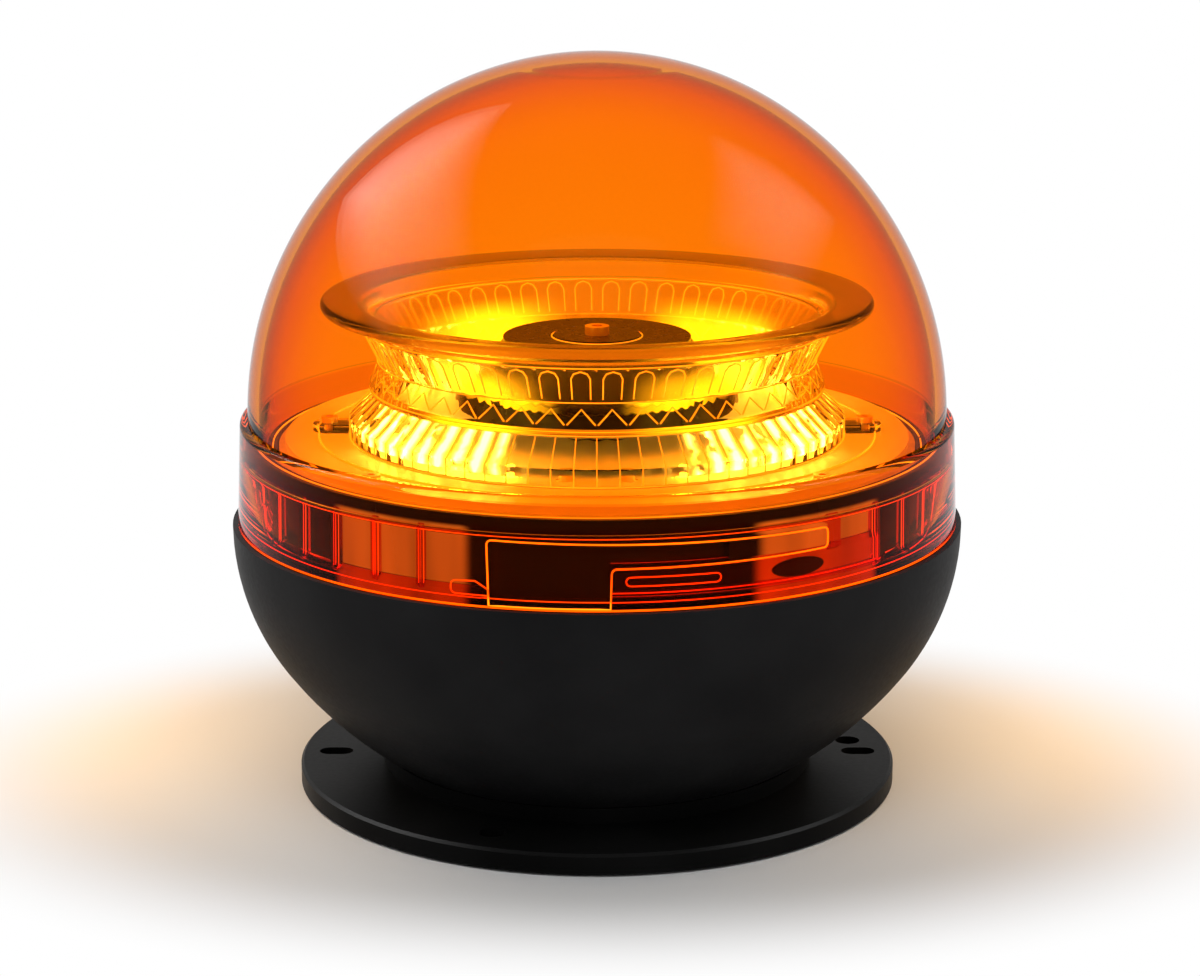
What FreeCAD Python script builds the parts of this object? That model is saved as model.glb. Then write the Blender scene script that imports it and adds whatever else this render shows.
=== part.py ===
import FreeCAD, Part

import math
import os
import re

import Sketcher

# Rotating beacon: a round base with an LED ring, a clear optic that turns on a geared hub,
# and a dome lens held by a bayonet. Lengths are millimetres and angles are degrees.
# The origin is the centre of the mounting face, and +Z runs up through the dome.

SIZES = (
    # mounting flange and its holes
    ("flange_radius", 65),
    ("flange_thickness", 4.3),
    ("flange_edge_chamfer", 0.6),
    ("collar_radius", 46.8),
    ("collar_top", 7.6),
    ("cable_bore_radius", 15),
    ("bolt_count", 3),
    ("bolt_circle_radius", 56.2),
    ("bolt_hole_radius", 2.7),
    ("bolt_first_angle", 7.5),
    ("slot_circle_radius", 57.5),
    ("slot_half_width", 2.3),
    ("slot_length", 7.6),
    # bowl
    ("bowl_radius", 78.4),
    ("bowl_arch_height", 58),
    ("bowl_arch_depth", 64.04),
    ("bowl_arch_angle", 36.9),
    ("bowl_wall", 2.6),
    ("bowl_floor", 3),
    ("rim_lip", 0.4),
    ("rim_width", 1.3),
    ("seat_width", 3.9),
    ("seat_height", 57.4),
    ("ledge_height", 49.5),
    ("ledge_thickness", 3),
    ("ledge_slope", 4),
    ("ledge_width", 5.7),
    ("boss_radius", 4),
    ("boss_length", 11),
    ("neck_screw_circle", 32),
    ("neck_screw_count", 4),
    ("neck_screw_angle", 45),
    # seal and lens
    ("seal_inset", 2.5),
    ("seal_width", 1.8),
    ("seal_depth", 1.5),
    ("seal_clearance", 0.1),
    ("lens_clearance", 0.3),
    ("band_draft", 0.4),
    ("band_wall", 2.8),
    ("band_land", 1.6),
    ("band_foot", 3.3),
    ("band_ledge_height", 72.4),
    ("shoulder_height", 80.9),
    ("shoulder_round", 1.7),
    ("dome_base_height", 81.17),
    ("dome_rise", 76.73),
    ("dome_arch_angle", 56.6),
    ("dome_wall", 2.4),
    ("rib_pitch", 8.54),
    ("rib_gap", 8.4),
    ("rib_count", 6),
    ("rib_angle", 0.8),
    ("rib_reach", 1.1),
    # bayonet
    ("bayonet_count", 3),
    ("bayonet_phase", 252.4),
    ("window_angle", 19.7),
    ("track_angle", 36.4),
    ("stop_angle", 2),
    ("rail_angle", 48.9),
    ("rail_top", 66.5),
    ("rail_slot_start", 3),
    ("rail_slot_angle", 15),
    ("rail_slot_height", 1.8),
    ("rail_slot_depth", 0.8),
    ("rail_slot_drop", 1.6),
    ("lug_end_clearance", 0.3),
    ("lug_side_clearance", 1),
    ("lug_height", 4.2),
    ("lug_lift", 0.6),
    ("lug_reach", 2.5),
    # chassis
    ("chassis_floor", 2.2),
    ("chassis_clearance", 0.6),
    ("chassis_step", 1.6),
    ("chassis_wall", 2.5),
    ("chassis_top", 75.4),
    ("boss_inset", 2),
    ("chassis_screw_count", 4),
    ("chassis_screw_angle", 45),
    ("shelf_width", 6.5),
    ("shelf_thickness", 2.2),
    ("shelf_slope", 3),
    ("wire_hole_radius", 8),
    ("wire_hole_circle", 45),
    ("wire_hole_count", 3),
    ("wire_hole_angle", 210),
    # deck: heat plate and LED board
    ("plate_thickness", 2),
    ("plate_clearance", 0.2),
    ("deck_bore_radius", 15),
    ("board_thickness", 1.6),
    ("board_inset", 1.7),
    ("deck_screw_count", 4),
    ("deck_screw_angle", 45),
    ("deck_screw_inset", 2),
    ("led_circle_radius", 45.5),
    ("led_pitch", 15),
    ("led_groups", 4),
    ("led_group_angle", 45),
    ("led_lit_per_group", 4),
    ("led_dark_per_group", 2),
    ("led_radius", 1.9),
    ("led_body_height", 0.9),
    ("led_lens_radius", 1.3),
    ("led_lens_height", 0.8),
    # static prism ring
    ("prism_radius", 53),
    ("prism_side_height", 4),
    ("prism_crown_radius", 47),
    ("prism_height", 9.6),
    ("prism_bore_radius", 45),
    ("prism_bore_drop", 1.4),
    ("prism_foot_radius", 50.6),
    ("prism_foot_height", 1.4),
    ("prism_flutes", 48),
    ("prism_flute_radius", 3.4),
    ("prism_flute_depth", 0.8),
    ("ear_reach", 4.5),
    ("ear_radius", 3.6),
    ("ear_thickness", 1.8),
    # spindle and bushes
    ("spindle_radius", 6),
    ("spindle_flange_radius", 13),
    ("spindle_flange_thickness", 2),
    ("spindle_stud_radius", 4),
    ("spindle_stud_length", 6),
    ("nut_width_ratio", 1.8),
    ("nut_clearance", 0.6),
    ("spindle_clearance", 0.4),
    ("washer_thickness", 0.6),
    ("washer_radius", 10),
    ("washer_clearance", 0.1),
    ("end_play", 0.3),
    ("running_clearance", 0.04),
    ("fit_clearance", 0.02),
    ("bush_radius", 8.5),
    ("bush_length", 9),
    ("clip_groove_radius", 5.2),
    ("clip_groove_drop", 1.4),
    ("clip_thickness", 0.8),
    ("clip_radius", 7.8),
    # rotor
    ("sleeve_radius", 12.5),
    ("gear_thickness", 5),
    ("gear_flange_radius", 18.5),
    ("gear_flange_thickness", 2.4),
    ("skirt_clearance", 5),
    ("hub_skirt_radius", 31),
    ("skirt_depth", 4.4),
    ("hub_spigot_radius", 26.8),
    ("hub_spigot_height", 2.4),
    ("hub_crown_radius", 20.1),
    ("hub_crown_rise", 10.5),
    ("hub_crown_slope", 0.7),
    ("hub_wall", 2.4),
    ("hub_recess_radius", 9.6),
    ("hub_recess_depth", 1.2),
    ("cap_thickness", 1.6),
    ("cap_clearance", 0.3),
    # funnel optic
    ("optic_wall", 2.2),
    ("spigot_clearance", 0.1),
    ("optic_step", 0.8),
    ("optic_flange_thickness", 2.2),
    ("optic_foot_radius", 48.05),
    ("optic_throat_radius", 46.5),
    ("optic_throat_rise", 6.7),
    ("optic_skirt_radius", 50.4),
    ("optic_taper_height", 7.7),
    ("optic_side_height", 4),
    ("optic_brim_thickness", 1.2),
    ("optic_brim_radius", 58.3),
    ("optic_dish_radius", 50.2),
    ("optic_dish_floor_radius", 31.2),
    ("optic_teeth", 48),
    ("optic_tooth_depth", 1.1),
    ("optic_notch_overcut", 0.4),
    ("optic_notch_share", 0.8),
    ("optic_screw_circle", 29),
    ("optic_screw_count", 4),
    ("optic_screw_angle", 45),
    # gear pair
    ("tooth_module", 1),
    ("gear_teeth", 48),
    ("pinion_teeth", 12),
    ("tooth_addendum", 0.9),
    ("tooth_dedendum", 1.25),
    ("tooth_backlash", 0.25),
    ("tooth_sink", 0.3),
    ("tooth_root_share", 1.35),
    ("tooth_tip_share", 0.55),
    ("mesh_clearance", 0.1),
    ("gear_screw_count", 4),
    ("gear_screw_circle", 15.6),
    ("gear_screw_angle", 45),
    # motor
    ("motor_radius", 12),
    ("motor_length", 22),
    ("motor_nose_radius", 3.4),
    ("motor_nose_height", 1.8),
    ("motor_shaft_radius", 1.5),
    ("shaft_stand", 1.5),
    ("shaft_bore_run_out", 0.5),
    ("motor_screw_reach", 8.5),
    # electronics in the bowl
    ("standoff_circle", 27),
    ("standoff_count", 4),
    ("standoff_radius", 2.8),
    ("standoff_height", 6),
    ("driver_radius", 35),
    ("driver_thickness", 1.6),
    ("driver_bore_radius", 12),
    ("capacitor_radius", 4),
    ("capacitor_height", 11),
    ("capacitor_count", 3),
    ("capacitor_first_angle", 205),
    ("capacitor_pitch_angle", 20),
    ("coil_radius", 6),
    ("coil_wire_radius", 2.4),
    ("coil_inset", 1.5),
    ("terminal_length", 15),
    ("terminal_width", 8),
    ("terminal_height", 9),
    ("terminal_angle", 315),
    ("chip_width", 8),
    ("chip_height", 1.4),
    ("chip_angle", 30),
    # grommet
    ("grommet_radius", 13.5),
    ("grommet_neck_radius", 11),
    ("grommet_lip", 1.5),
    ("grommet_bore_radius", 3.5),
    # screws
    ("screw_radius", 1.45),
    ("screw_head_radius", 2.6),
    ("screw_head_height", 1.8),
    ("screw_hole_clearance", 0.15),
    ("screw_socket_radius", 1.1),
    ("screw_socket_depth", 1),
    ("small_screw_radius", 0.9),
    ("small_head_radius", 1.8),
    ("small_head_height", 1.2),
    ("small_socket_radius", 0.8),
    ("small_socket_depth", 0.7),
    ("thread_grip", 6),
    ("thread_run_out", 0.6),
    ("small_thread_grip", 3),
)

NAMES = {name for name, value in SIZES}
FULL_TURN = 360
QUARTER_TURN = 90
EARS = 2
ROUND_END_EASE = 1.001  # a round end a hair wider than its slot closes as one arc
# Places named by what they carry, written once from the driving sizes.
RIM_TOP = "(bowl_arch_height + rim_lip)"
LIP_BORE = "(bowl_radius - rim_width)"
RIM_BORE = f"({LIP_BORE} - seat_width)"
LEDGE_RADIUS = f"({RIM_BORE} - ledge_width)"
BAND_RADIUS = f"({LIP_BORE} - lens_clearance)"
BAND_TOP_RADIUS = f"({BAND_RADIUS} - band_draft)"
BAND_BORE = f"({BAND_RADIUS} - band_wall)"
BAND_LAND = f"({BAND_BORE} - band_land)"
DOME_RADIUS = f"({BAND_TOP_RADIUS} - shoulder_round)"
SEAL_BORE = f"({BAND_RADIUS} - seal_inset)"
CHASSIS_RADIUS = f"({RIM_BORE} - chassis_clearance)"
CHASSIS_WALL_RADIUS = f"({CHASSIS_RADIUS} - chassis_step)"
CHASSIS_BORE = f"({CHASSIS_WALL_RADIUS} - chassis_wall)"
CHASSIS_SCREW_CIRCLE = f"({LEDGE_RADIUS} - boss_inset)"
SHELF_RADIUS = f"({CHASSIS_BORE} - shelf_width)"
DECK_SCREW_CIRCLE = f"({SHELF_RADIUS} + deck_screw_inset)"
EAR_CIRCLE = "(prism_radius + ear_reach)"
NECK_SCREW_SEAT = "(collar_top + bowl_floor)"
LENS_FOOT = "(seat_height + lens_clearance)"
FLOOR_TOP = "(ledge_height + chassis_floor)"
PLATE_SEAT = "(chassis_top - plate_thickness)"
BOARD_SEAT = "chassis_top"
DECK_TOP = "(chassis_top + board_thickness)"
HUB_SKIRT = f"({DECK_TOP} + skirt_clearance)"
HUB_SEAT = f"({HUB_SKIRT} + skirt_depth)"
SPIGOT_TOP = f"({HUB_SEAT} + hub_spigot_height)"
HUB_CROWN = f"({HUB_SEAT} + hub_crown_rise)"
HUB_TOP = f"({HUB_CROWN} + hub_crown_slope)"
SPINDLE_TOP = f"({HUB_TOP} - hub_recess_depth - hub_wall - spindle_clearance)"
OPTIC_THROAT = f"({HUB_SEAT} + optic_throat_rise)"
TAPER_TOP = f"({OPTIC_THROAT} + optic_taper_height)"
BRIM_SEAT = f"({TAPER_TOP} + optic_side_height)"
OPTIC_TOP = f"({BRIM_SEAT} + optic_brim_thickness)"
PRISM_TOP = f"({DECK_TOP} + prism_height)"
WASHER_TOP = f"({FLOOR_TOP} + spindle_flange_thickness + washer_thickness)"
ROTOR_FOOT = f"({WASHER_TOP} + end_play)"
GEAR_TOP = f"({ROTOR_FOOT} + gear_thickness)"
CLIP_SEAT = f"({SPINDLE_TOP} - clip_groove_drop - clip_thickness)"
BUSH_TOP = f"({CLIP_SEAT} - end_play)"
DRIVER_SEAT = "(collar_top + bowl_floor + standoff_height)"
DRIVER_TOP = f"({DRIVER_SEAT} + driver_thickness)"
MOTOR_REACH = "(tooth_module * (gear_teeth + pinion_teeth) / 2 + mesh_clearance)"
OPTIC_FLOOR = f"({HUB_SEAT} + optic_flange_thickness)"
SCREW_HOLE = "(screw_radius + screw_hole_clearance)"
SCREW_THREAD = "(screw_radius + fit_clearance)"
SMALL_HOLE = "(small_screw_radius + screw_hole_clearance)"
SMALL_THREAD = "(small_screw_radius + fit_clearance)"

doc = FreeCAD.newDocument("beacon")
sheet = doc.addObject("Spreadsheet::Sheet", "Sizes")
parts = []


def fill_sheet():
    for row, (name, value) in enumerate(SIZES, start=1):
        sheet.set(f"A{row}", name)
        sheet.set(f"B{row}", str(value))
        sheet.setAlias(f"B{row}", name)
    doc.recompute()


def bound(text):
    """The expression with each size's name pointed at its cell."""
    return re.sub(r"[a-z_]+", lambda m: "Sizes." + m[0] if m[0] in NAMES else m[0], str(text))


def value(text):
    return float(sheet.evalExpression(bound(text)))


def count(name):
    return int(value(name))


# Sketches and features


def new_body(name):
    body = doc.addObject("PartDesign::Body", name)
    body.Label = name
    parts.append(body)
    return body


def origin_part(body, role):
    return next(f for f in body.Origin.OriginFeatures if f.Role == role)


def sketch_on(body, role, lift="0", turn=None):
    """A sketch on an origin plane, lifted along +Z or turned about +Z."""
    sketch = body.newObject("Sketcher::SketchObject", f"{body.Label}_sketch")
    sketch.AttachmentSupport = [(origin_part(body, role), "")]
    sketch.MapMode = "FlatFace"
    if role == "XY_Plane":
        sketch.setExpression("AttachmentOffset.Base.z", bound(lift))
    if turn is not None:
        up = FreeCAD.Vector(0, 1, 0)
        sketch.AttachmentOffset = FreeCAD.Placement(FreeCAD.Vector(), FreeCAD.Rotation(up, 1))
        sketch.setExpression("AttachmentOffset.Rotation.Angle", bound(turn))
    return sketch


def tie(sketch, kind, index, point, text):
    """Holds one coordinate of a point to an expression."""
    if str(text) == "0":
        axis = -2 if kind == "DistanceX" else -1
        sketch.addConstraint(Sketcher.Constraint("PointOnObject", index, point, axis))
        return
    number = sketch.addConstraint(Sketcher.Constraint(kind, -1, 1, index, point, value(text)))
    sketch.setExpression(f"Constraints[{number}]", bound(text))


def arc_between(start, end, radius, side):
    """The short arc from start to end whose centre lies to the left (1) or right (-1)."""
    chord = end - start
    left = FreeCAD.Vector(-chord.y, chord.x, 0).normalize()
    height = math.sqrt(max(radius**2 - (chord.Length / 2) ** 2, 0))
    centre = (start + end) * 0.5 + left * height * side
    first, last = (start, end) if side > 0 else (end, start)
    begin = math.atan2(first.y - centre.y, first.x - centre.x)
    finish = math.atan2(last.y - centre.y, last.x - centre.x)
    if finish < begin:
        finish += 2 * math.pi
    circle = Part.Circle(centre, FreeCAD.Vector(0, 0, 1), radius)
    return Part.ArcOfCircle(circle, begin, finish)


def outline(sketch, corners, arcs=None):
    """A closed outline; arcs maps a corner to the radius and side of the arc that leaves it."""
    arcs = arcs or {}
    points = [FreeCAD.Vector(value(x), value(y), 0) for x, y in corners]
    ends = []
    for i, start in enumerate(points):
        end = points[(i + 1) % len(points)]
        if i in arcs:
            radius, side = arcs[i]
            edge = sketch.addGeometry(arc_between(start, end, value(radius), side))
            ends.append((edge, 1, 2) if side > 0 else (edge, 2, 1))
        else:
            edge = sketch.addGeometry(Part.LineSegment(start, end))
            ends.append((edge, 1, 2))
    for i, (edge, first, last) in enumerate(ends):
        following, begin, finish = ends[(i + 1) % len(ends)]
        sketch.addConstraint(Sketcher.Constraint("Coincident", edge, last, following, begin))
    for (edge, first, last), (x, y) in zip(ends, corners):
        tie(sketch, "DistanceX", edge, first, x)
        tie(sketch, "DistanceY", edge, first, y)
    for i, (radius, side) in arcs.items():
        number = sketch.addConstraint(Sketcher.Constraint("Radius", ends[i][0], value(radius)))
        sketch.setExpression(f"Constraints[{number}]", bound(radius))
    return sketch


def circles(sketch, centres, radius):
    for x, y in centres:
        shape = Part.Circle(FreeCAD.Vector(value(x), value(y), 0), FreeCAD.Vector(0, 0, 1), value(radius))
        index = sketch.addGeometry(shape)
        tie(sketch, "DistanceX", index, 3, x)
        tie(sketch, "DistanceY", index, 3, y)
        number = sketch.addConstraint(Sketcher.Constraint("Radius", index, value(radius)))
        sketch.setExpression(f"Constraints[{number}]", bound(radius))
    return sketch


def on_circle(number, radius, first="0"):
    """Places round the axis, evenly spaced from the first angle."""
    places = []
    for k in range(number):
        angle = f"({first} + {k * FULL_TURN / number})"
        places.append((f"{radius} * cos({angle})", f"{radius} * sin({angle})"))
    return places


def feature(body, kind, sketch):
    made = body.newObject(f"PartDesign::{kind}", f"{body.Label}_{kind.lower()}")
    made.Profile = sketch
    body.Tip = made
    sketch.Visibility = False
    return made


def turned(body, corners, arcs=None, kind="Revolution", start=None, sweep=None):
    """Turns a radius-height outline about the axis, all round or through a sweep."""
    sketch = outline(sketch_on(body, "XZ_Plane", turn=start), corners, arcs)
    made = feature(body, kind, sketch)
    made.ReferenceAxis = (sketch, ["V_Axis"])
    made.Angle = FULL_TURN
    if sweep is not None:
        made.setExpression("Angle", bound(sweep))
    return made


def raised(body, sketch, length, down=False):
    made = feature(body, "Pad", sketch)
    made.setExpression("Length", bound(length))
    made.Reversed = down
    return made


def cut(body, sketch, depth, up=False):
    made = feature(body, "Pocket", sketch)
    made.setExpression("Length", bound(depth))
    made.Reversed = up
    return made


def repeated(body, original, number, spacing=None):
    made = body.newObject("PartDesign::PolarPattern", f"{body.Label}_pattern")
    made.Originals = [original]
    made.Axis = (origin_part(body, "Z_Axis"), [""])
    made.Angle = FULL_TURN
    if spacing is not None:
        made.Mode = "Spacing"
        made.setExpression("Offset", bound(spacing))
    made.setExpression("Occurrences", bound(number))
    body.Tip = made
    return made


def post(body, centres, radius, base, height, down=False):
    sketch = circles(sketch_on(body, "XY_Plane", base), centres, radius)
    return raised(body, sketch, height, down)


def drilled(body, centres, radius, top, depth):
    sketch = circles(sketch_on(body, "XY_Plane", top), centres, radius)
    return cut(body, sketch, depth)


def ring(body, inner, outer, base, height):
    """A plain ring or disc about the axis."""
    corners = [(inner, base), (outer, base), (outer, f"{base} + {height}"), (inner, f"{base} + {height}")]
    return turned(body, corners)


def screws(name, centres, seat, grip, small=False):
    """Screws whose heads sit on the seat and whose shanks run down by the grip."""
    size = "small" if small else "screw"
    shank = "small_screw_radius" if small else "screw_radius"
    body = new_body(name)
    post(body, centres, f"{size}_head_radius", seat, f"{size}_head_height")
    post(body, centres, shank, seat, grip, down=True)
    drilled(body, centres, f"{size}_socket_radius", f"{seat} + {size}_head_height", f"{size}_socket_depth")
    return body


# Two-arc arches: a side arc that starts upright and a crown arc centred on the axis


def side_arc(radius, rise, angle):
    return (
        f"((cos({angle}) * ({rise}) - (1 - sin({angle})) * ({radius}))"
        f" / (sin({angle}) + cos({angle}) - 1))"
    )


def crown_arc(radius, rise, angle):
    return (
        f"((({radius}) * sin({angle}) - ({rise}) * (1 - cos({angle})))"
        f" / (sin({angle}) + cos({angle}) - 1))"
    )


def arch_joint(radius, rise, angle):
    """Where the two arcs meet: its radius and its height over the springing."""
    side = side_arc(radius, rise, angle)
    return (f"(({radius}) - {side} * (1 - cos({angle})))", f"({side} * sin({angle}))")


# Base


def flange_slots():
    """Radial slots on the X axis, as centre-line ends of each slot."""
    reach = "(slot_length / 2 - slot_half_width)"
    return [(side, f"(slot_circle_radius - {reach})", f"(slot_circle_radius + {reach})") for side in (1, -1)]


def neck_screw_places():
    return on_circle(count("neck_screw_count"), "neck_screw_circle", "neck_screw_angle")


def mounting_flange():
    body = new_body("mounting_flange")
    turned(
        body,
        [
            ("cable_bore_radius", "0"),
            ("flange_radius", "0"),
            ("flange_radius", "flange_thickness - flange_edge_chamfer"),
            ("flange_radius - flange_edge_chamfer", "flange_thickness"),
            ("collar_radius", "flange_thickness"),
            ("collar_radius", "collar_top"),
            ("cable_bore_radius", "collar_top"),
        ],
    )
    bolts = on_circle(count("bolt_count"), "bolt_circle_radius", "bolt_first_angle")
    drilled(body, bolts, "bolt_hole_radius", "flange_thickness", "flange_thickness")
    for side, inner, outer in flange_slots():
        near, far = (f"{side} * {inner}", f"{side} * {outer}")
        low, high = ("-slot_half_width", "slot_half_width")
        corners = [(near, low), (far, low), (far, high), (near, high)]
        if side < 0:
            corners.reverse()
        end_radius = f"slot_half_width * {ROUND_END_EASE}"
        round_end = {1: (end_radius, 1), 3: (end_radius, 1)}
        slot = outline(sketch_on(body, "XY_Plane", "flange_thickness"), corners, round_end)
        cut(body, slot, "flange_thickness")
    neck_depth = "thread_grip - bowl_floor + thread_run_out"
    drilled(body, neck_screw_places(), SCREW_THREAD, "collar_top", neck_depth)


def base_bowl():
    body = new_body("base_bowl")
    outer = ("bowl_radius", "bowl_arch_depth", "bowl_arch_angle")
    inner = ("(bowl_radius - bowl_wall)", "(bowl_arch_depth - bowl_wall)", "bowl_arch_angle")
    outer_x, outer_y = arch_joint(*outer)
    inner_x, inner_y = arch_joint(*inner)
    outer_crown, inner_crown = crown_arc(*outer), crown_arc(*inner)
    outer_side, inner_side = side_arc(*outer), side_arc(*inner)
    crown_centre = f"(bowl_arch_height - bowl_arch_depth + {outer_crown})"
    neck = f"sqrt({outer_crown}^2 - ({crown_centre} - collar_top)^2)"
    floor_edge = f"sqrt({inner_crown}^2 - ({crown_centre} - collar_top - bowl_floor)^2)"
    slope_foot = "(ledge_height - ledge_thickness - ledge_slope)"
    slope_drop = f"(bowl_arch_height - {slope_foot})"
    slope_edge = f"(bowl_radius - {outer_side} + sqrt({inner_side}^2 - {slope_drop}^2))"
    groove_outer = f"({SEAL_BORE} + seal_width + seal_clearance)"
    groove_inner = f"({SEAL_BORE} - seal_clearance)"
    corners = [
        ("grommet_neck_radius", "collar_top"),
        (neck, "collar_top"),
        (outer_x, f"bowl_arch_height - {outer_y}"),
        ("bowl_radius", "bowl_arch_height"),
        ("bowl_radius", RIM_TOP),
        (LIP_BORE, RIM_TOP),
        (LIP_BORE, "seat_height"),
        (groove_outer, "seat_height"),
        (groove_outer, "seat_height - seal_depth"),
        (groove_inner, "seat_height - seal_depth"),
        (groove_inner, "seat_height"),
        (RIM_BORE, "seat_height"),
        (RIM_BORE, "ledge_height"),
        (LEDGE_RADIUS, "ledge_height"),
        (LEDGE_RADIUS, "ledge_height - ledge_thickness"),
        (slope_edge, slope_foot),
        (inner_x, f"bowl_arch_height - {inner_y}"),
        (floor_edge, NECK_SCREW_SEAT),
        ("grommet_neck_radius", NECK_SCREW_SEAT),
    ]
    arcs = {1: (outer_crown, 1), 2: (outer_side, 1), 15: (inner_side, -1), 16: (inner_crown, -1)}
    turned(body, corners, arcs)
    bosses = on_circle(count("chassis_screw_count"), CHASSIS_SCREW_CIRCLE, "chassis_screw_angle")
    post(body, bosses, "boss_radius", "ledge_height", "boss_length", down=True)
    drilled(body, bosses, SCREW_THREAD, "ledge_height", "thread_grip + 1")
    drilled(body, neck_screw_places(), SCREW_HOLE, NECK_SCREW_SEAT, "bowl_floor")


def lens_seal():
    body = new_body("lens_seal")
    height = "(seal_depth + lens_clearance - seal_clearance)"
    ring(body, SEAL_BORE, f"({SEAL_BORE} + seal_width)", "(seat_height - seal_depth)", height)


def cable_grommet():
    body = new_body("cable_grommet")
    low = "collar_top - grommet_lip"
    high = f"{NECK_SCREW_SEAT} + grommet_lip"
    turned(
        body,
        [
            ("grommet_bore_radius", low),
            ("grommet_radius", low),
            ("grommet_radius", "collar_top"),
            ("grommet_neck_radius", "collar_top"),
            ("grommet_neck_radius", NECK_SCREW_SEAT),
            ("grommet_radius", NECK_SCREW_SEAT),
            ("grommet_radius", high),
            ("grommet_bore_radius", high),
        ],
    )


def chassis():
    body = new_body("chassis")
    turned(
        body,
        [
            ("spindle_stud_radius + fit_clearance", "ledge_height"),
            (CHASSIS_RADIUS, "ledge_height"),
            (CHASSIS_RADIUS, FLOOR_TOP),
            (CHASSIS_WALL_RADIUS, FLOOR_TOP),
            (CHASSIS_WALL_RADIUS, "chassis_top"),
            (CHASSIS_BORE, "chassis_top"),
            (CHASSIS_BORE, PLATE_SEAT),
            (SHELF_RADIUS, PLATE_SEAT),
            (SHELF_RADIUS, f"{PLATE_SEAT} - shelf_thickness"),
            (CHASSIS_BORE, f"{PLATE_SEAT} - shelf_thickness - shelf_slope"),
            (CHASSIS_BORE, FLOOR_TOP),
            ("spindle_stud_radius + fit_clearance", FLOOR_TOP),
        ],
    )
    lug_foot = "(rail_top + lug_lift)"
    lug_tip = f"({CHASSIS_WALL_RADIUS} + lug_reach)"
    lug_root = f"({CHASSIS_WALL_RADIUS} - chassis_wall / 4)"
    corners = [
        (lug_root, lug_foot),
        (lug_tip, lug_foot),
        (lug_tip, f"{lug_foot} + lug_height"),
        (lug_root, f"{lug_foot} + lug_height"),
    ]
    sweep = "(window_angle - 2 * lug_side_clearance)"
    start = f"(bayonet_phase + window_angle + track_angle - lug_end_clearance - {sweep})"
    lug = turned(body, corners, start=start, sweep=sweep)
    repeated(body, lug, "bayonet_count")
    fixings = on_circle(count("chassis_screw_count"), CHASSIS_SCREW_CIRCLE, "chassis_screw_angle")
    drilled(body, fixings, SCREW_HOLE, FLOOR_TOP, "chassis_floor")
    drilled(body, deck_screw_places(), SMALL_THREAD, PLATE_SEAT, "shelf_thickness")
    nose_bore = "motor_nose_radius + screw_hole_clearance"
    drilled(body, [("0", MOTOR_REACH)], nose_bore, FLOOR_TOP, "chassis_floor")
    drilled(body, motor_screw_places(), SMALL_HOLE, FLOOR_TOP, "chassis_floor")
    wires = on_circle(count("wire_hole_count"), "wire_hole_circle", "wire_hole_angle")
    drilled(body, wires, "wire_hole_radius", FLOOR_TOP, "chassis_floor")


def heat_plate():
    body = new_body("heat_plate")
    edge = f"({CHASSIS_BORE} - plate_clearance)"
    ring(body, "deck_bore_radius", edge, PLATE_SEAT, "plate_thickness")
    drilled(body, deck_screw_places(), SMALL_HOLE, BOARD_SEAT, "plate_thickness")
    drilled(body, ear_places(), SMALL_THREAD, BOARD_SEAT, "plate_thickness")


def led_board():
    body = new_body("led_board")
    ring(body, "deck_bore_radius", f"({CHASSIS_BORE} - board_inset)", BOARD_SEAT, "board_thickness")
    drilled(body, deck_screw_places(), SMALL_HOLE, DECK_TOP, "board_thickness")
    drilled(body, ear_places(), SMALL_HOLE, DECK_TOP, "board_thickness")


def deck_screw_places():
    return on_circle(count("deck_screw_count"), DECK_SCREW_CIRCLE, "deck_screw_angle")


def led_places(per_group, middle):
    """Evenly pitched places about the middle of each group."""
    groups = count("led_groups")
    number = count(per_group)
    places = []
    for group in range(groups):
        for k in range(number):
            angle = f"({middle} + {group * FULL_TURN / groups} + led_pitch * {k - (number - 1) / 2})"
            places.append((f"led_circle_radius * cos({angle})", f"led_circle_radius * sin({angle})"))
    return places


def leds(name, places):
    body = new_body(name)
    post(body, places, "led_radius", DECK_TOP, "led_body_height")
    post(body, places, "led_lens_radius", f"{DECK_TOP} + led_body_height", "led_lens_height")


def ear_places():
    return on_circle(EARS, EAR_CIRCLE)


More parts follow.
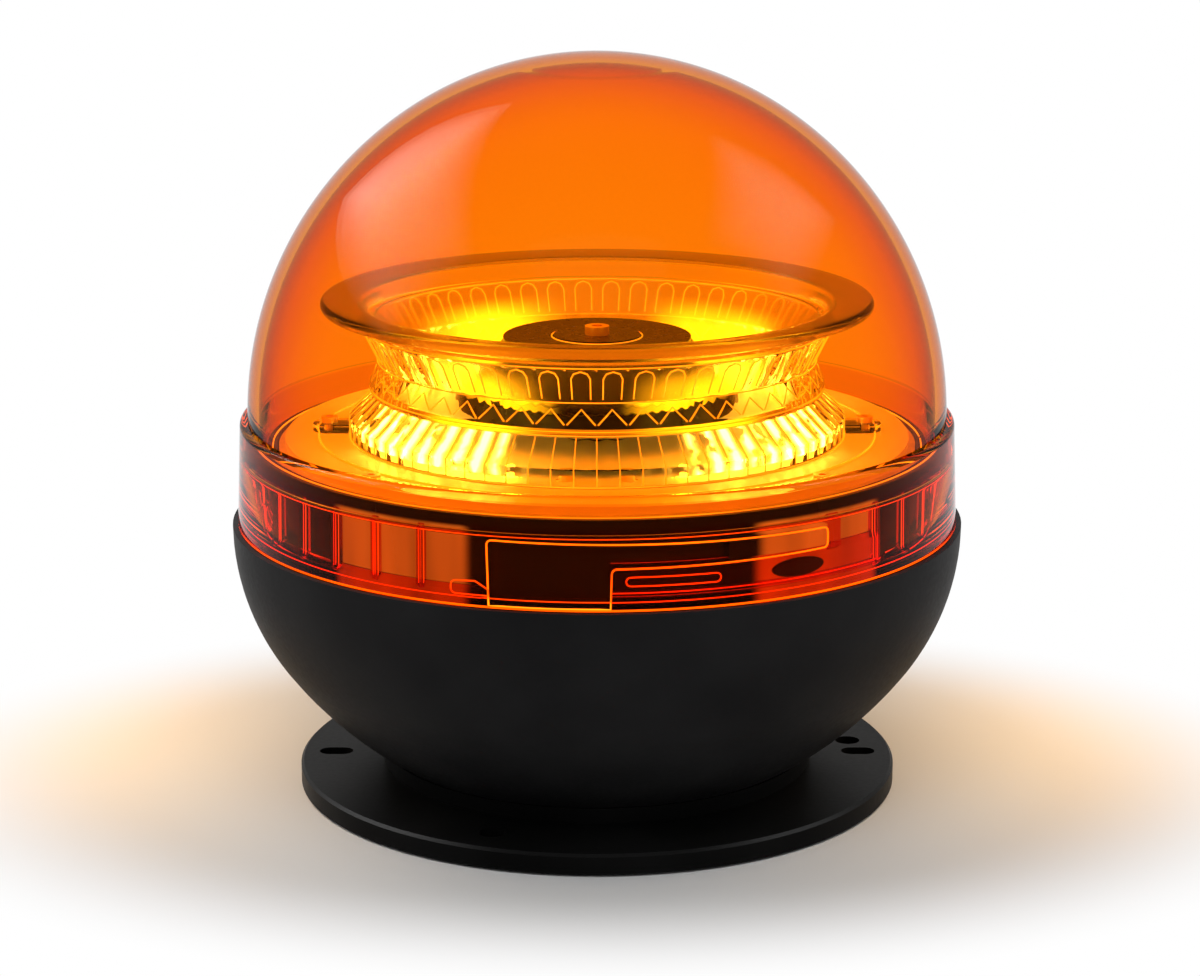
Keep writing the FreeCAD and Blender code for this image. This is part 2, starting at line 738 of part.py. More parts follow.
def prism_ring():
    body = new_body("prism_ring")
    side = f"{DECK_TOP} + prism_side_height"
    inner_top = f"({PRISM_TOP} - prism_bore_drop)"
    inner_foot = f"({DECK_TOP} + prism_foot_height)"
    turned(
        body,
        [
            ("prism_foot_radius", DECK_TOP),
            ("prism_radius", DECK_TOP),
            ("prism_radius", side),
            ("prism_crown_radius", PRISM_TOP),
            ("prism_bore_radius", PRISM_TOP),
            ("prism_bore_radius", inner_top),
            ("prism_foot_radius", inner_foot),
        ],
    )
    height = f"({inner_top} - {inner_foot})"
    slant = f"sqrt((prism_foot_radius - prism_bore_radius)^2 + {height}^2)"
    flute = body.newObject("PartDesign::SubtractiveCylinder", "prism_ring_flute")
    flute.AttachmentSupport = [(origin_part(body, "XZ_Plane"), "")]
    flute.MapMode = "FlatFace"
    flute.AttachmentOffset = FreeCAD.Placement(
        FreeCAD.Vector(1, 1, 0), FreeCAD.Rotation(FreeCAD.Vector(1, 0, 0), 1)
    )
    lean = f"atan((prism_foot_radius - prism_bore_radius) / {height})"
    inward = "(prism_flute_radius - prism_flute_depth)"
    flute.setExpression("Radius", bound("prism_flute_radius"))
    flute.setExpression("Height", bound(f"{slant} + 2"))
    body.Tip = flute
    place_leaning(flute, f"prism_foot_radius - {inward} * cos({lean})", inner_foot, inward, lean)
    repeated(body, flute, "prism_flutes")
    ears = on_circle(EARS, EAR_CIRCLE)
    post(body, ears, "ear_radius", DECK_TOP, "ear_thickness")
    bridge = "(ear_reach + 1)"
    for side in (1, -1):
        near, far = f"{side} * ({EAR_CIRCLE} - {bridge})", f"{side} * {EAR_CIRCLE}"
        corners = [(near, "-ear_radius"), (far, "-ear_radius"), (far, "ear_radius"), (near, "ear_radius")]
        raised(body, outline(sketch_on(body, "XY_Plane", DECK_TOP), corners), "ear_thickness")
    drilled(body, ears, SMALL_HOLE, f"{DECK_TOP} + ear_thickness", "ear_thickness")


def place_leaning(tool, reach, height, inward, lean):
    """Stands a cylinder in the XZ plane so that it leans towards the axis."""
    sink = f"({height} - {inward} * sin({lean}))"
    tool.AttachmentOffset = FreeCAD.Placement(
        FreeCAD.Vector(1, 1, 0), FreeCAD.Rotation(FreeCAD.Vector(1, 0, 0), -90)
    )
    tool.setExpression("AttachmentOffset.Base.x", bound(reach))
    tool.setExpression("AttachmentOffset.Base.y", bound(sink))
    tool.setExpression("AttachmentOffset.Rotation.Yaw", bound(lean))


# Rotor


def spindle():
    body = new_body("spindle")
    flange_top = f"({FLOOR_TOP} + spindle_flange_thickness)"
    stud_foot = f"({FLOOR_TOP} - spindle_stud_length)"
    turned(
        body,
        [
            ("0", stud_foot),
            ("spindle_stud_radius", stud_foot),
            ("spindle_stud_radius", FLOOR_TOP),
            ("spindle_flange_radius", FLOOR_TOP),
            ("spindle_flange_radius", flange_top),
            ("spindle_radius", flange_top),
            ("spindle_radius", CLIP_SEAT),
            ("clip_groove_radius", CLIP_SEAT),
            ("clip_groove_radius", f"{CLIP_SEAT} + clip_thickness"),
            ("spindle_radius", f"{CLIP_SEAT} + clip_thickness"),
            ("spindle_radius", SPINDLE_TOP),
            ("0", SPINDLE_TOP),
        ],
    )


def spindle_nut():
    body = new_body("spindle_nut")
    height = "(spindle_stud_length - chassis_floor - nut_clearance)"
    across = "(spindle_stud_radius * nut_width_ratio)"
    corners = [(f"{across} * cos({k * 60})", f"{across} * sin({k * 60})") for k in range(6)]
    corners[0] = (across, "0")
    corners[3] = (f"-{across}", "0")
    raised(body, outline(sketch_on(body, "XY_Plane", "ledge_height"), corners), height, down=True)
    drilled(body, [("0", "0")], "spindle_stud_radius + fit_clearance", "ledge_height", height)


def thrust_washer():
    body = new_body("thrust_washer")
    base = f"({FLOOR_TOP} + spindle_flange_thickness)"
    ring(body, "(spindle_radius + washer_clearance)", "washer_radius", base, "washer_thickness")


def retaining_clip():
    body = new_body("retaining_clip")
    clip_bore = "(clip_groove_radius + fit_clearance)"
    ring(body, clip_bore, "clip_radius", CLIP_SEAT, "(clip_thickness - fit_clearance)")


def bushes():
    bore = "(spindle_radius + running_clearance)"
    ring(new_body("lower_bush"), bore, "bush_radius", ROTOR_FOOT, "bush_length")
    ring(new_body("upper_bush"), bore, "bush_radius", f"({BUSH_TOP} - bush_length)", "bush_length")


def rotor_hub():
    body = new_body("rotor_hub")
    ceiling = f"({HUB_TOP} - hub_recess_depth - hub_wall)"
    shell = "(hub_skirt_radius - hub_wall)"
    seat_bore = "(hub_spigot_radius - hub_wall)"
    turned(
        body,
        [
            ("bush_radius", ROTOR_FOOT),
            ("sleeve_radius", ROTOR_FOOT),
            ("sleeve_radius", GEAR_TOP),
            ("gear_flange_radius", GEAR_TOP),
            ("gear_flange_radius", f"{GEAR_TOP} + gear_flange_thickness"),
            ("sleeve_radius", f"{GEAR_TOP} + gear_flange_thickness"),
            ("sleeve_radius", ceiling),
            ("hub_crown_radius - hub_wall", ceiling),
            (seat_bore, f"{HUB_SEAT} - hub_wall"),
            (shell, f"{HUB_SEAT} - hub_wall"),
            (shell, HUB_SKIRT),
            ("hub_skirt_radius", HUB_SKIRT),
            ("hub_skirt_radius", HUB_SEAT),
            ("hub_spigot_radius", HUB_SEAT),
            ("hub_spigot_radius", SPIGOT_TOP),
            ("hub_crown_radius", HUB_CROWN),
            ("hub_crown_radius", HUB_TOP),
            ("hub_recess_radius", HUB_TOP),
            ("hub_recess_radius", f"{HUB_TOP} - hub_recess_depth"),
            (SCREW_THREAD, f"{HUB_TOP} - hub_recess_depth"),
            (SCREW_THREAD, ceiling),
            ("bush_radius", ceiling),
        ],
    )
    drilled(body, optic_screw_places(), SMALL_THREAD, HUB_SEAT, "hub_wall")
    flange_top = f"({GEAR_TOP} + gear_flange_thickness)"
    drilled(body, gear_screw_places(), SCREW_HOLE, flange_top, "gear_flange_thickness")


def hub_cap():
    body = new_body("hub_cap")
    base = f"({HUB_TOP} - hub_recess_depth)"
    cap_bore = "(screw_radius + screw_hole_clearance)"
    ring(body, cap_bore, "(hub_recess_radius - cap_clearance)", base, "cap_thickness")


def optic_screw_places():
    return on_circle(count("optic_screw_count"), "optic_screw_circle", "optic_screw_angle")


def gear_screw_places():
    return on_circle(count("gear_screw_count"), "gear_screw_circle", "gear_screw_angle")


def funnel_optic():
    body = new_body("funnel_optic")
    rise = f"({OPTIC_TOP} - {OPTIC_FLOOR})"
    run = "(optic_dish_radius - optic_dish_floor_radius)"
    slant = f"sqrt({rise}^2 + {run}^2)"
    under_x = f"(optic_dish_floor_radius + optic_wall * {rise} / {slant})"
    under_z = f"({OPTIC_FLOOR} - optic_wall * {run} / {slant})"
    inner_wall = "(optic_skirt_radius - optic_wall)"
    ridge = f"({under_z} + ({inner_wall} - {under_x}) * {rise} / {run})"
    under_foot = f"({under_x} - ({under_z} - {HUB_SEAT}) * {run} / {rise})"
    throat_bore = "(optic_throat_radius - optic_wall)"
    turned(
        body,
        [
            ("hub_spigot_radius + spigot_clearance", HUB_SEAT),
            (under_foot, HUB_SEAT),
            (inner_wall, ridge),
            (inner_wall, f"{TAPER_TOP} - optic_step"),
            (throat_bore, OPTIC_THROAT),
            (throat_bore, f"{HUB_SEAT} + optic_step"),
            ("optic_foot_radius", f"{HUB_SEAT} + optic_step"),
            ("optic_foot_radius", f"{OPTIC_FLOOR}"),
            ("optic_throat_radius", OPTIC_THROAT),
            ("optic_skirt_radius", TAPER_TOP),
            ("optic_skirt_radius", BRIM_SEAT),
            ("optic_brim_radius", BRIM_SEAT),
            ("optic_brim_radius", OPTIC_TOP),
            ("optic_dish_radius", OPTIC_TOP),
            ("optic_dish_floor_radius", OPTIC_FLOOR),
            ("hub_spigot_radius + spigot_clearance", OPTIC_FLOOR),
        ],
    )
    notch_half = "(180 / optic_teeth) * optic_notch_share"
    root = "(optic_skirt_radius - optic_tooth_depth)"
    edge = "(optic_skirt_radius + optic_notch_overcut)"
    corners = [
        (root, "0"),
        (f"{edge} * cos({notch_half})", f"-{edge} * sin({notch_half})"),
        (f"{edge} * cos({notch_half})", f"{edge} * sin({notch_half})"),
    ]
    notch = outline(sketch_on(body, "XY_Plane", TAPER_TOP), corners)
    gap = cut(body, notch, f"{TAPER_TOP} - {OPTIC_THROAT}")
    repeated(body, gap, "optic_teeth")
    drilled(body, optic_screw_places(), SMALL_HOLE, OPTIC_FLOOR, "optic_flange_thickness")


# Gears and motor


def toothed(body, teeth, base, height, root):
    """Adds straight-flanked teeth round a blank whose radius is the root radius."""
    pitch_radius = f"(tooth_module * {teeth} / 2)"
    half = "((pi * tooth_module / 2 - tooth_backlash) / 2)"
    tip = f"({pitch_radius} + tooth_addendum)"
    foot = f"({root} - tooth_sink)"
    corners = [
        (foot, f"-{half} * tooth_root_share"),
        (pitch_radius, f"-{half}"),
        (tip, f"-{half} * tooth_tip_share"),
        (tip, f"{half} * tooth_tip_share"),
        (pitch_radius, half),
        (foot, f"{half} * tooth_root_share"),
    ]
    tooth = raised(body, outline(sketch_on(body, "XY_Plane", base), corners), height)
    repeated(body, tooth, teeth)


def drive_gear():
    body = new_body("drive_gear")
    root = "(tooth_module * gear_teeth / 2 - tooth_dedendum)"
    ring(body, "(sleeve_radius + fit_clearance)", root, ROTOR_FOOT, "gear_thickness")
    toothed(body, "gear_teeth", ROTOR_FOOT, "gear_thickness", root)
    drilled(body, gear_screw_places(), SCREW_THREAD, GEAR_TOP, "gear_thickness")


def motor_pinion():
    body = new_body("motor_pinion")
    root = "(tooth_module * pinion_teeth / 2 - tooth_dedendum)"
    ring(body, "(motor_shaft_radius + fit_clearance)", root, ROTOR_FOOT, "gear_thickness")
    toothed(body, "pinion_teeth", ROTOR_FOOT, "gear_thickness", root)
    half_tooth = FULL_TURN / count("pinion_teeth") / 2
    body.Placement.Rotation = FreeCAD.Rotation(FreeCAD.Vector(0, 0, 1), half_tooth)
    body.setExpression("Placement.Base.y", bound(MOTOR_REACH))


def motor_shaft():
    body = new_body("motor_shaft")
    foot = "(ledge_height - motor_length / 2)"
    length = f"{GEAR_TOP} + shaft_stand - {foot}"
    post(body, [("0", "0")], "motor_shaft_radius", foot, length)
    body.setExpression("Placement.Base.y", bound(MOTOR_REACH))


def motor_can():
    body = new_body("motor_can")
    post(body, [("0", "0")], "motor_radius", "ledge_height", "motor_length", down=True)
    post(body, [("0", "0")], "motor_nose_radius", "ledge_height", "motor_nose_height")
    bore = "(motor_shaft_radius + running_clearance)"
    depth = "(motor_nose_height + motor_length / 2 + shaft_bore_run_out)"
    drilled(body, [("0", "0")], bore, "(ledge_height + motor_nose_height)", depth)
    ends = [("motor_screw_reach", "0"), ("-motor_screw_reach", "0")]
    drilled(body, ends, SMALL_THREAD, "ledge_height", "small_thread_grip")
    body.setExpression("Placement.Base.y", bound(MOTOR_REACH))


def motor_screw_places():
    return [("motor_screw_reach", MOTOR_REACH), ("-motor_screw_reach", MOTOR_REACH)]


# Electronics in the bowl


def standoff_places():
    return on_circle(count("standoff_count"), "standoff_circle")


def board_standoffs():
    body = new_body("board_standoffs")
    post(body, standoff_places(), "standoff_radius", NECK_SCREW_SEAT, "standoff_height")
    drilled(body, standoff_places(), SMALL_THREAD, DRIVER_SEAT, "standoff_height")


def driver_board():
    body = new_body("driver_board")
    ring(body, "driver_bore_radius", "driver_radius", DRIVER_SEAT, "driver_thickness")
    drilled(body, standoff_places(), SMALL_HOLE, DRIVER_TOP, "driver_thickness")


def capacitors():
    body = new_body("capacitors")
    reach = "(driver_radius - capacitor_radius - 2)"
    places = []
    for k in range(count("capacitor_count")):
        angle = f"(capacitor_first_angle + {k} * capacitor_pitch_angle)"
        places.append((f"{reach} * cos({angle})", f"{reach} * sin({angle})"))
    post(body, places, "capacitor_radius", DRIVER_TOP, "capacitor_height")


def power_coil():
    body = new_body("power_coil")
    tall = "(coil_wire_radius * 2)"
    corners = [
        ("coil_radius - coil_wire_radius", DRIVER_TOP),
        ("coil_radius + coil_wire_radius", DRIVER_TOP),
        ("coil_radius + coil_wire_radius", f"{DRIVER_TOP} + {tall}"),
        ("coil_radius - coil_wire_radius", f"{DRIVER_TOP} + {tall}"),
    ]
    turned(body, corners)
    reach = "(driver_radius - coil_radius - coil_wire_radius - coil_inset)"
    body.setExpression("Placement.Base.x", bound(f"{reach} * cos(150)"))
    body.setExpression("Placement.Base.y", bound(f"{reach} * sin(150)"))


def block(name, length, width, tall, angle, reach):
    """A box on the driver board, set square to its own radius."""
    body = new_body(name)
    low, high = f"-{width} / 2", f"{width} / 2"
    back, front = f"-{length} / 2", f"{length} / 2"
    corners = [(back, low), (front, low), (front, high), (back, high)]
    raised(body, outline(sketch_on(body, "XY_Plane", DRIVER_TOP), corners), tall)
    body.Placement.Rotation = FreeCAD.Rotation(FreeCAD.Vector(0, 0, 1), value(angle) + QUARTER_TURN)
    body.setExpression("Placement.Base.x", bound(f"{reach} * cos({angle})"))
    body.setExpression("Placement.Base.y", bound(f"{reach} * sin({angle})"))


# Lens


def dome_lens():
    body = new_body("dome_lens")
    outer = (DOME_RADIUS, "dome_rise", "dome_arch_angle")
    inner = (f"({DOME_RADIUS} - dome_wall)", "(dome_rise - dome_wall)", "dome_arch_angle")
    outer_x, outer_y = arch_joint(*outer)
    inner_x, inner_y = arch_joint(*inner)
    corners = [
        (BAND_LAND, LENS_FOOT),
        (BAND_RADIUS, LENS_FOOT),
        (BAND_TOP_RADIUS, "shoulder_height - shoulder_round"),
        (DOME_RADIUS, "shoulder_height"),
        (DOME_RADIUS, "dome_base_height"),
        (outer_x, f"dome_base_height + {outer_y}"),
        ("0", "dome_base_height + dome_rise"),
        ("0", "dome_base_height + dome_rise - dome_wall"),
        (inner_x, f"dome_base_height + {inner_y}"),
        (f"{DOME_RADIUS} - dome_wall", "dome_base_height"),
        (f"{DOME_RADIUS} - dome_wall", "band_ledge_height"),
        (BAND_BORE, "band_ledge_height"),
        (BAND_BORE, f"{LENS_FOOT} + band_foot"),
        (BAND_LAND, f"{LENS_FOOT} + band_foot"),
    ]
    first = corners.index((DOME_RADIUS, "dome_base_height"))
    arcs = {
        2: ("shoulder_round", 1),
        first: (side_arc(*outer), 1),
        first + 1: (crown_arc(*outer), 1),
        first + 3: (crown_arc(*inner), -1),
        first + 4: (side_arc(*inner), -1),
    }
    turned(body, corners, arcs)
    foot_top = f"({LENS_FOOT} + band_foot)"
    sector(body, "Groove", f"{BAND_LAND} - 1", BAND_BORE, f"{LENS_FOOT} - 1", foot_top, "0", "window_angle")
    land, wall = BAND_LAND, f"({BAND_BORE} + band_wall / 10)"
    sector(body, "Revolution", land, wall, foot_top, "rail_top", "window_angle", "rail_angle")
    slot_low = "(rail_top - rail_slot_drop - rail_slot_height)"
    slot_bore = f"({BAND_LAND} + rail_slot_depth)"
    slot_start = "(window_angle + rail_slot_start)"
    slot_ends = (slot_low, f"{slot_low} + rail_slot_height")
    sector(body, "Groove", f"{land} - 1", slot_bore, *slot_ends, slot_start, "rail_slot_angle")
    track_end = "(window_angle + track_angle)"
    sector(body, "Revolution", land, wall, "rail_top", "band_ledge_height", track_end, "stop_angle")
    rib_inner = f"({BAND_BORE} - rib_reach)"
    corners = box_corners(rib_inner, wall, foot_top, "band_ledge_height")
    for first_rib in rib_starts():
        rib = turned(body, corners, start=first_rib, sweep="rib_angle")
        repeated(body, rib, "rib_count", spacing="rib_pitch")


def box_corners(inner, outer, low, high):
    return [(inner, low), (outer, low), (outer, high), (inner, high)]


def sector(body, kind, inner, outer, low, high, after, sweep):
    """A stretch of ring on each bayonet, measured from the start of its window."""
    corners = box_corners(inner, outer, low, high)
    made = turned(body, corners, kind=kind, start=f"(bayonet_phase + {after})", sweep=sweep)
    repeated(body, made, "bayonet_count")


def rib_starts():
    """Angle of the first rib after each bayonet's stop."""
    taken = "window_angle + track_angle + stop_angle + rib_gap"
    step = f"{FULL_TURN} / bayonet_count"
    return [f"(bayonet_phase + {taken} + {k} * {step})" for k in range(count("bayonet_count"))]


def screw_groups():
    screws("flange_screws", neck_screw_places(), NECK_SCREW_SEAT, "thread_grip")
    fixings = on_circle(count("chassis_screw_count"), CHASSIS_SCREW_CIRCLE, "chassis_screw_angle")
    screws("chassis_screws", fixings, FLOOR_TOP, "(thread_grip + chassis_floor)")
    grip = "(board_thickness + plate_thickness + shelf_thickness)"
    screws("deck_screws", deck_screw_places(), DECK_TOP, grip, small=True)
    ear_grip = "(ear_thickness + board_thickness + plate_thickness)"
    screws("prism_screws", ear_places(), f"({DECK_TOP} + ear_thickness)", ear_grip, small=True)
    optic_grip = "(optic_flange_thickness + hub_wall)"
    screws("optic_screws", optic_screw_places(), OPTIC_FLOOR, optic_grip, small=True)
    gear_seat = f"({GEAR_TOP} + gear_flange_thickness)"
    screws("gear_screws", gear_screw_places(), gear_seat, "(gear_flange_thickness + gear_thickness)")
    cap_seat = f"({HUB_TOP} - hub_recess_depth + cap_thickness)"
    screws("hub_screw", [("0", "0")], cap_seat, "(cap_thickness + hub_wall)")
    motor_grip = "(chassis_floor + small_thread_grip)"
    screws("motor_screws", motor_screw_places(), FLOOR_TOP, motor_grip, small=True)
    screws("board_screws", standoff_places(), DRIVER_TOP, "(driver_thickness + standoff_height)", small=True)


def build():
    fill_sheet()
    mounting_flange()
    base_bowl()
    lens_seal()
    cable_grommet()
    board_standoffs()
    driver_board()
    capacitors()
    power_coil()
    block("terminal_block", "terminal_length", "terminal_width", "terminal_height", "terminal_angle",
          "(driver_radius - terminal_width)")
    block("driver_chip", "chip_width", "chip_width", "chip_height", "chip_angle", "(driver_radius - chip_width)")
    chassis()
    heat_plate()
    led_board()
    leds("leds_lit", led_places("led_lit_per_group", "led_group_angle"))
    leds("leds_dark", led_places("led_dark_per_group", "0"))
    prism_ring()
    spindle()
    spindle_nut()
    thrust_washer()
    retaining_clip()
    bushes()
    rotor_hub()
    hub_cap()
    funnel_optic()
    drive_gear()
    motor_pinion()
    motor_shaft()
    motor_can()
    dome_lens()
    screw_groups()
    doc.recompute()


def check():
    for item in doc.Objects:
        if {"Invalid", "Error"} & set(item.State):
            raise RuntimeError(f"{item.Label} failed: {item.State}")
    for body in parts:
        if body.Shape.isNull() or not body.Shape.isValid():
            raise RuntimeError(f"{body.Label} has no valid shape")


def export():
    os.makedirs("parts", exist_ok=True)
    for body in parts:
        body.Shape.exportStep(f"parts/{body.Label}.step")
        print(body.Label, len(body.Shape.Solids), round(body.Shape.Volume, 1))


build()
check()
export()
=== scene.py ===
import math

import bmesh
import bpy
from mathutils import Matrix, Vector


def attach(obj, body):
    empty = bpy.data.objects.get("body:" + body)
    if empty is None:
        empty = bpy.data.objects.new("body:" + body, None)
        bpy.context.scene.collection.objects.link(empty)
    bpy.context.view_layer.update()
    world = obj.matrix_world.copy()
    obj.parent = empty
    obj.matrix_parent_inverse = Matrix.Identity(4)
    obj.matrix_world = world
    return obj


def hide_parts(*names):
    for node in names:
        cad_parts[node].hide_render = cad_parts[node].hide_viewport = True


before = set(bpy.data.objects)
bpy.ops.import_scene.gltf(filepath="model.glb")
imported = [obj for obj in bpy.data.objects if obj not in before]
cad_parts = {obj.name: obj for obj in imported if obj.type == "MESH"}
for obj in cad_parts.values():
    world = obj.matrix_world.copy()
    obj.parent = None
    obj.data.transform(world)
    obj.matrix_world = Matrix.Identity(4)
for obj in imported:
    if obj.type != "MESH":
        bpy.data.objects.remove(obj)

MM = 0.001
FULL_TURN = 2 * math.pi
SEGMENTS = 288

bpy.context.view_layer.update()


# ---------------------------------------------------------------- meshes

def mesh_object(name, verts, faces, materials, indices=None, crease=32):
    mesh = bpy.data.meshes.new(name)
    mesh.from_pydata([tuple(c * MM for c in v) for v in verts], [], faces)
    for material in materials:
        mesh.materials.append(material)
    if indices:
        mesh.polygons.foreach_set("material_index", indices)
    edit = bmesh.new()
    edit.from_mesh(mesh)
    bmesh.ops.remove_doubles(edit, verts=edit.verts, dist=1e-7)
    bmesh.ops.recalc_face_normals(edit, faces=edit.faces)
    edit.to_mesh(mesh)
    edit.free()
    mesh.shade_smooth()
    mesh.set_sharp_from_angle(angle=math.radians(crease))
    piece = bpy.data.objects.new(name, mesh)
    bpy.context.collection.objects.link(piece)
    return piece


def polar(radius, angle, height):
    return (radius * math.cos(angle), radius * math.sin(angle), height)


def circle_path(radius, height, steps):
    """A circle about Z as a path of (radius, degrees, z) points."""
    return [(radius, 360 * k / steps, height) for k in range(steps)]


def ring_faces(first, second, count):
    """Four-sided faces between two closed rings, given the number of each ring's first point."""
    faces = []
    for k in range(count):
        follow = (k + 1) % count
        faces.append([first + k, first + follow, second + follow, second + k])
    return faces


def zigzag(angle, count):
    """1 at each of the joints about the axis and 0 half way between them."""
    return abs(((angle * count / FULL_TURN) % 1) * 2 - 1)


def arc_points(centre, radius, first, last, steps):
    points = []
    for k in range(steps + 1):
        angle = math.radians(first + (last - first) * k / steps)
        points.append((centre[0] + radius * math.cos(angle), centre[1] + radius * math.sin(angle)))
    return points


def rounded(corners, steps=5):
    """Corners are (r, z) or (r, z, round). A rounded corner becomes a short arc."""
    points = []
    total = len(corners)
    for k, corner in enumerate(corners):
        here = Vector(corner[:2])
        size = corner[2] if len(corner) > 2 else 0
        if not size:
            points.append(tuple(here))
            continue
        back = Vector(corners[(k - 1) % total][:2]) - here
        ahead = Vector(corners[(k + 1) % total][:2]) - here
        half = back.angle(ahead) / 2
        run = min(size / math.tan(half), back.length * 0.49, ahead.length * 0.49)
        size = run * math.tan(half)
        start = here + back.normalized() * run
        end = here + ahead.normalized() * run
        centre = here + (back.normalized() + ahead.normalized()).normalized() * (size / math.sin(half))
        for step in range(steps + 1):
            share = step / steps
            spoke = (start - centre).slerp(end - centre, share)
            points.append(tuple(centre + spoke))
    return points


def lathe(name, profile, materials, shape=None, segments=SEGMENTS, span=None, pick=None, crease=32):
    """Turns a closed profile of (r, z) points about Z.

    shape(k, r, z, angle) may move a point, pick(k, angle) chooses a face's material,
    and span=(first, last) in degrees makes a capped sector.
    """
    first, last = span if span else (0, 360)
    closed = span is None
    columns = segments if closed else segments + 1
    verts = []
    for column in range(columns):
        angle = math.radians(first + (last - first) * column / segments)
        for k, (r, z) in enumerate(profile):
            if shape:
                r, z = shape(k, r, z, angle)
            verts.append(polar(max(r, 0), angle, z))
    count = len(profile)
    faces = []
    indices = []
    for column in range(segments):
        beyond = (column + 1) % columns
        middle = math.radians(first + (last - first) * (column + 0.5) / segments)
        for k in range(count):
            follow = (k + 1) % count
            if profile[k][0] < 1e-6 and profile[follow][0] < 1e-6:
                continue
            here, there = column * count, beyond * count
            faces.append([here + k, there + k, there + follow, here + follow])
            indices.append(pick(k, middle) if pick else 0)
    if not closed:
        faces.append(list(range(count)))
        faces.append([segments * count + k for k in reversed(range(count))])
        indices += [0, 0]
    return cleaned(name, verts, faces, materials, indices, crease)


def cleaned(name, verts, faces, materials, indices, crease):
    """Folds points on the axis into one before the mesh is made, so no face has a repeated point."""
    keys = {}
    order = []
    target = []
    for v in verts:
        key = (round(v[0], 6), round(v[1], 6), round(v[2], 6))
        if key not in keys:
            keys[key] = len(order)
            order.append(v)
        target.append(keys[key])
    kept = []
    kept_indices = []
    for face, index in zip(faces, indices):
        ring = []
        for v in face:
            if target[v] not in ring:
                ring.append(target[v])
        if len(ring) > 2:
            kept.append(ring)
            kept_indices.append(index)
    return mesh_object(name, order, kept, materials, kept_indices, crease)


def joined(name, pieces):
    """Makes one piece of several and returns it."""
    bpy.ops.object.select_all(action="DESELECT")
    for piece in pieces:
        piece.select_set(True)
    bpy.context.view_layer.objects.active = pieces[0]
    bpy.ops.object.join()
    pieces[0].name = name
    return pieces[0]


def arch(radius, rise, joint, base, steps):
    """Two-arc arch from its springing to its crown, as (r, z) points."""
    sine = math.sin(math.radians(joint))
    cosine = math.cos(math.radians(joint))
    spread = sine + cosine - 1
    side = (rise * cosine - (1 - sine) * radius) / spread
    crown = (radius * sine - rise * (1 - cosine)) / spread
    low = arc_points((radius - side, base), side, 0, joint, steps)
    high = arc_points((0, base + rise - crown), crown, joint, 90, steps)
    high[-1] = (0, base + rise)
    return low + high[1:]


# ---------------------------------------------------------------- sizes in millimetres and degrees

BAND_RADIUS = 76.8
BAND_TOP_RADIUS = 76.4
BAND_BORE = 74
BAND_LAND = 72.4
LENS_FOOT = 57.7
FOOT_TOP = 61
RAIL_TOP = 66.5
BAND_LEDGE = 72.4
SHOULDER = 80.9
SHOULDER_ROUND = 1.7
DOME_RADIUS = 74.7
DOME_BASE = 81.17
DOME_RISE = 76.73
DOME_ARCH = 56.6
DOME_WALL = 2.4
BAYONETS = 3
BAYONET_PITCH = 360 / BAYONETS
WINDOW_START = 252.4
WINDOW_END = 272.1
RAIL_END = WINDOW_END + 48.9
STOP_START = 308.5
STOP_END = 310.5
SLOT_START = 274.5
SLOT_END = 289.4
SLOT_LOW = 62.5
SLOT_HIGH = 64.3
OPENING_START = 253.5
OPENING_END = 308.2
OPENING_TOP = 71.0
RIB_GAP = 8.4
RIB_PITCH = 8.54
RIB_COUNT = 6
RIB_ANGLE = 0.8
RIB_INNER = 72.9
BLOCK_GAP = 0.02
CROWN_RING = 15.5
CROWN_STEP = 0.10
LOOP_START = 247.4
LOOP_END = OPENING_START
LOOP_LOW = 60.2
LOOP_HIGH = 62.8
OVAL_ANGLE = 303
OVAL_HALF_ANGLE = 4.9
OVAL_HEIGHT = 63.4
OVAL_HALF_HEIGHT = 1.9
DECK_TOP = 77
PRISM_FLUTES = 72
PRISM_SIDE = 53
PRISM_SIDE_TOP = 81
PRISM_HEAD = 47
PRISM_TOP = 86.6
EAR_CIRCLE = 57.5
EAR_RADIUS = 3.6
EAR_HOLE = 1.0
EAR_TOP = 78.8
EAR_ROOT = 52.8
OPTIC_TEETH = 48
TOOTH_DEPTH = 0.4
TOOTH_HALF = 0.30
TOOTH_FOOT = 94.0
TOOTH_SIDE = 98.6
TOOTH_BROW = 99.7
TOOTH_CREST = 100.2
ARROW_HALF = 0.46
ARROW_FOOT = 88.9
ARROW_TIP = 91.9
BRIM_START = 50.6
ROW_FOOT = (46.5, 93.3)
ROW_HEAD = (50.1, 100.6)
ROW_BEND = (47.6, 95.2)

# Half the thickness of each painted glow line along an edge.
OPENING_LINE = 0.18
SLOT_LINE = 0.15
RAIL_LINE = 0.14
LOOP_LINE = 0.15
RIB_LINE = 0.09
FLUTE_LINE = 0.12
PRISM_LINE = 0.16
TOOTH_LINE = 0.16
ARROW_LINE = 0.17
OPTIC_LINE = 0.13
OPTIC_CIRCLE_STEPS = 180
BAND_CIRCLE_STEPS = 240


# ---------------------------------------------------------------- materials

def material(name):
    made = bpy.data.materials.new(name)
    made.use_nodes = True
    nodes = made.node_tree.nodes
    nodes.clear()
    return made, nodes, made.node_tree.links


def node(nodes, kind, **inputs):
    made = nodes.new(kind)
    for key, value in inputs.items():
        made.inputs[key.replace("_", " ")].default_value = value
    return made


def shader(nodes, base, rough, **more):
    made = nodes.new("ShaderNodeBsdfPrincipled")
    made.inputs["Base Color"].default_value = (*base, 1)
    made.inputs["Roughness"].default_value = rough
    for key, value in more.items():
        made.inputs[key.replace("_", " ")].default_value = value
    return made


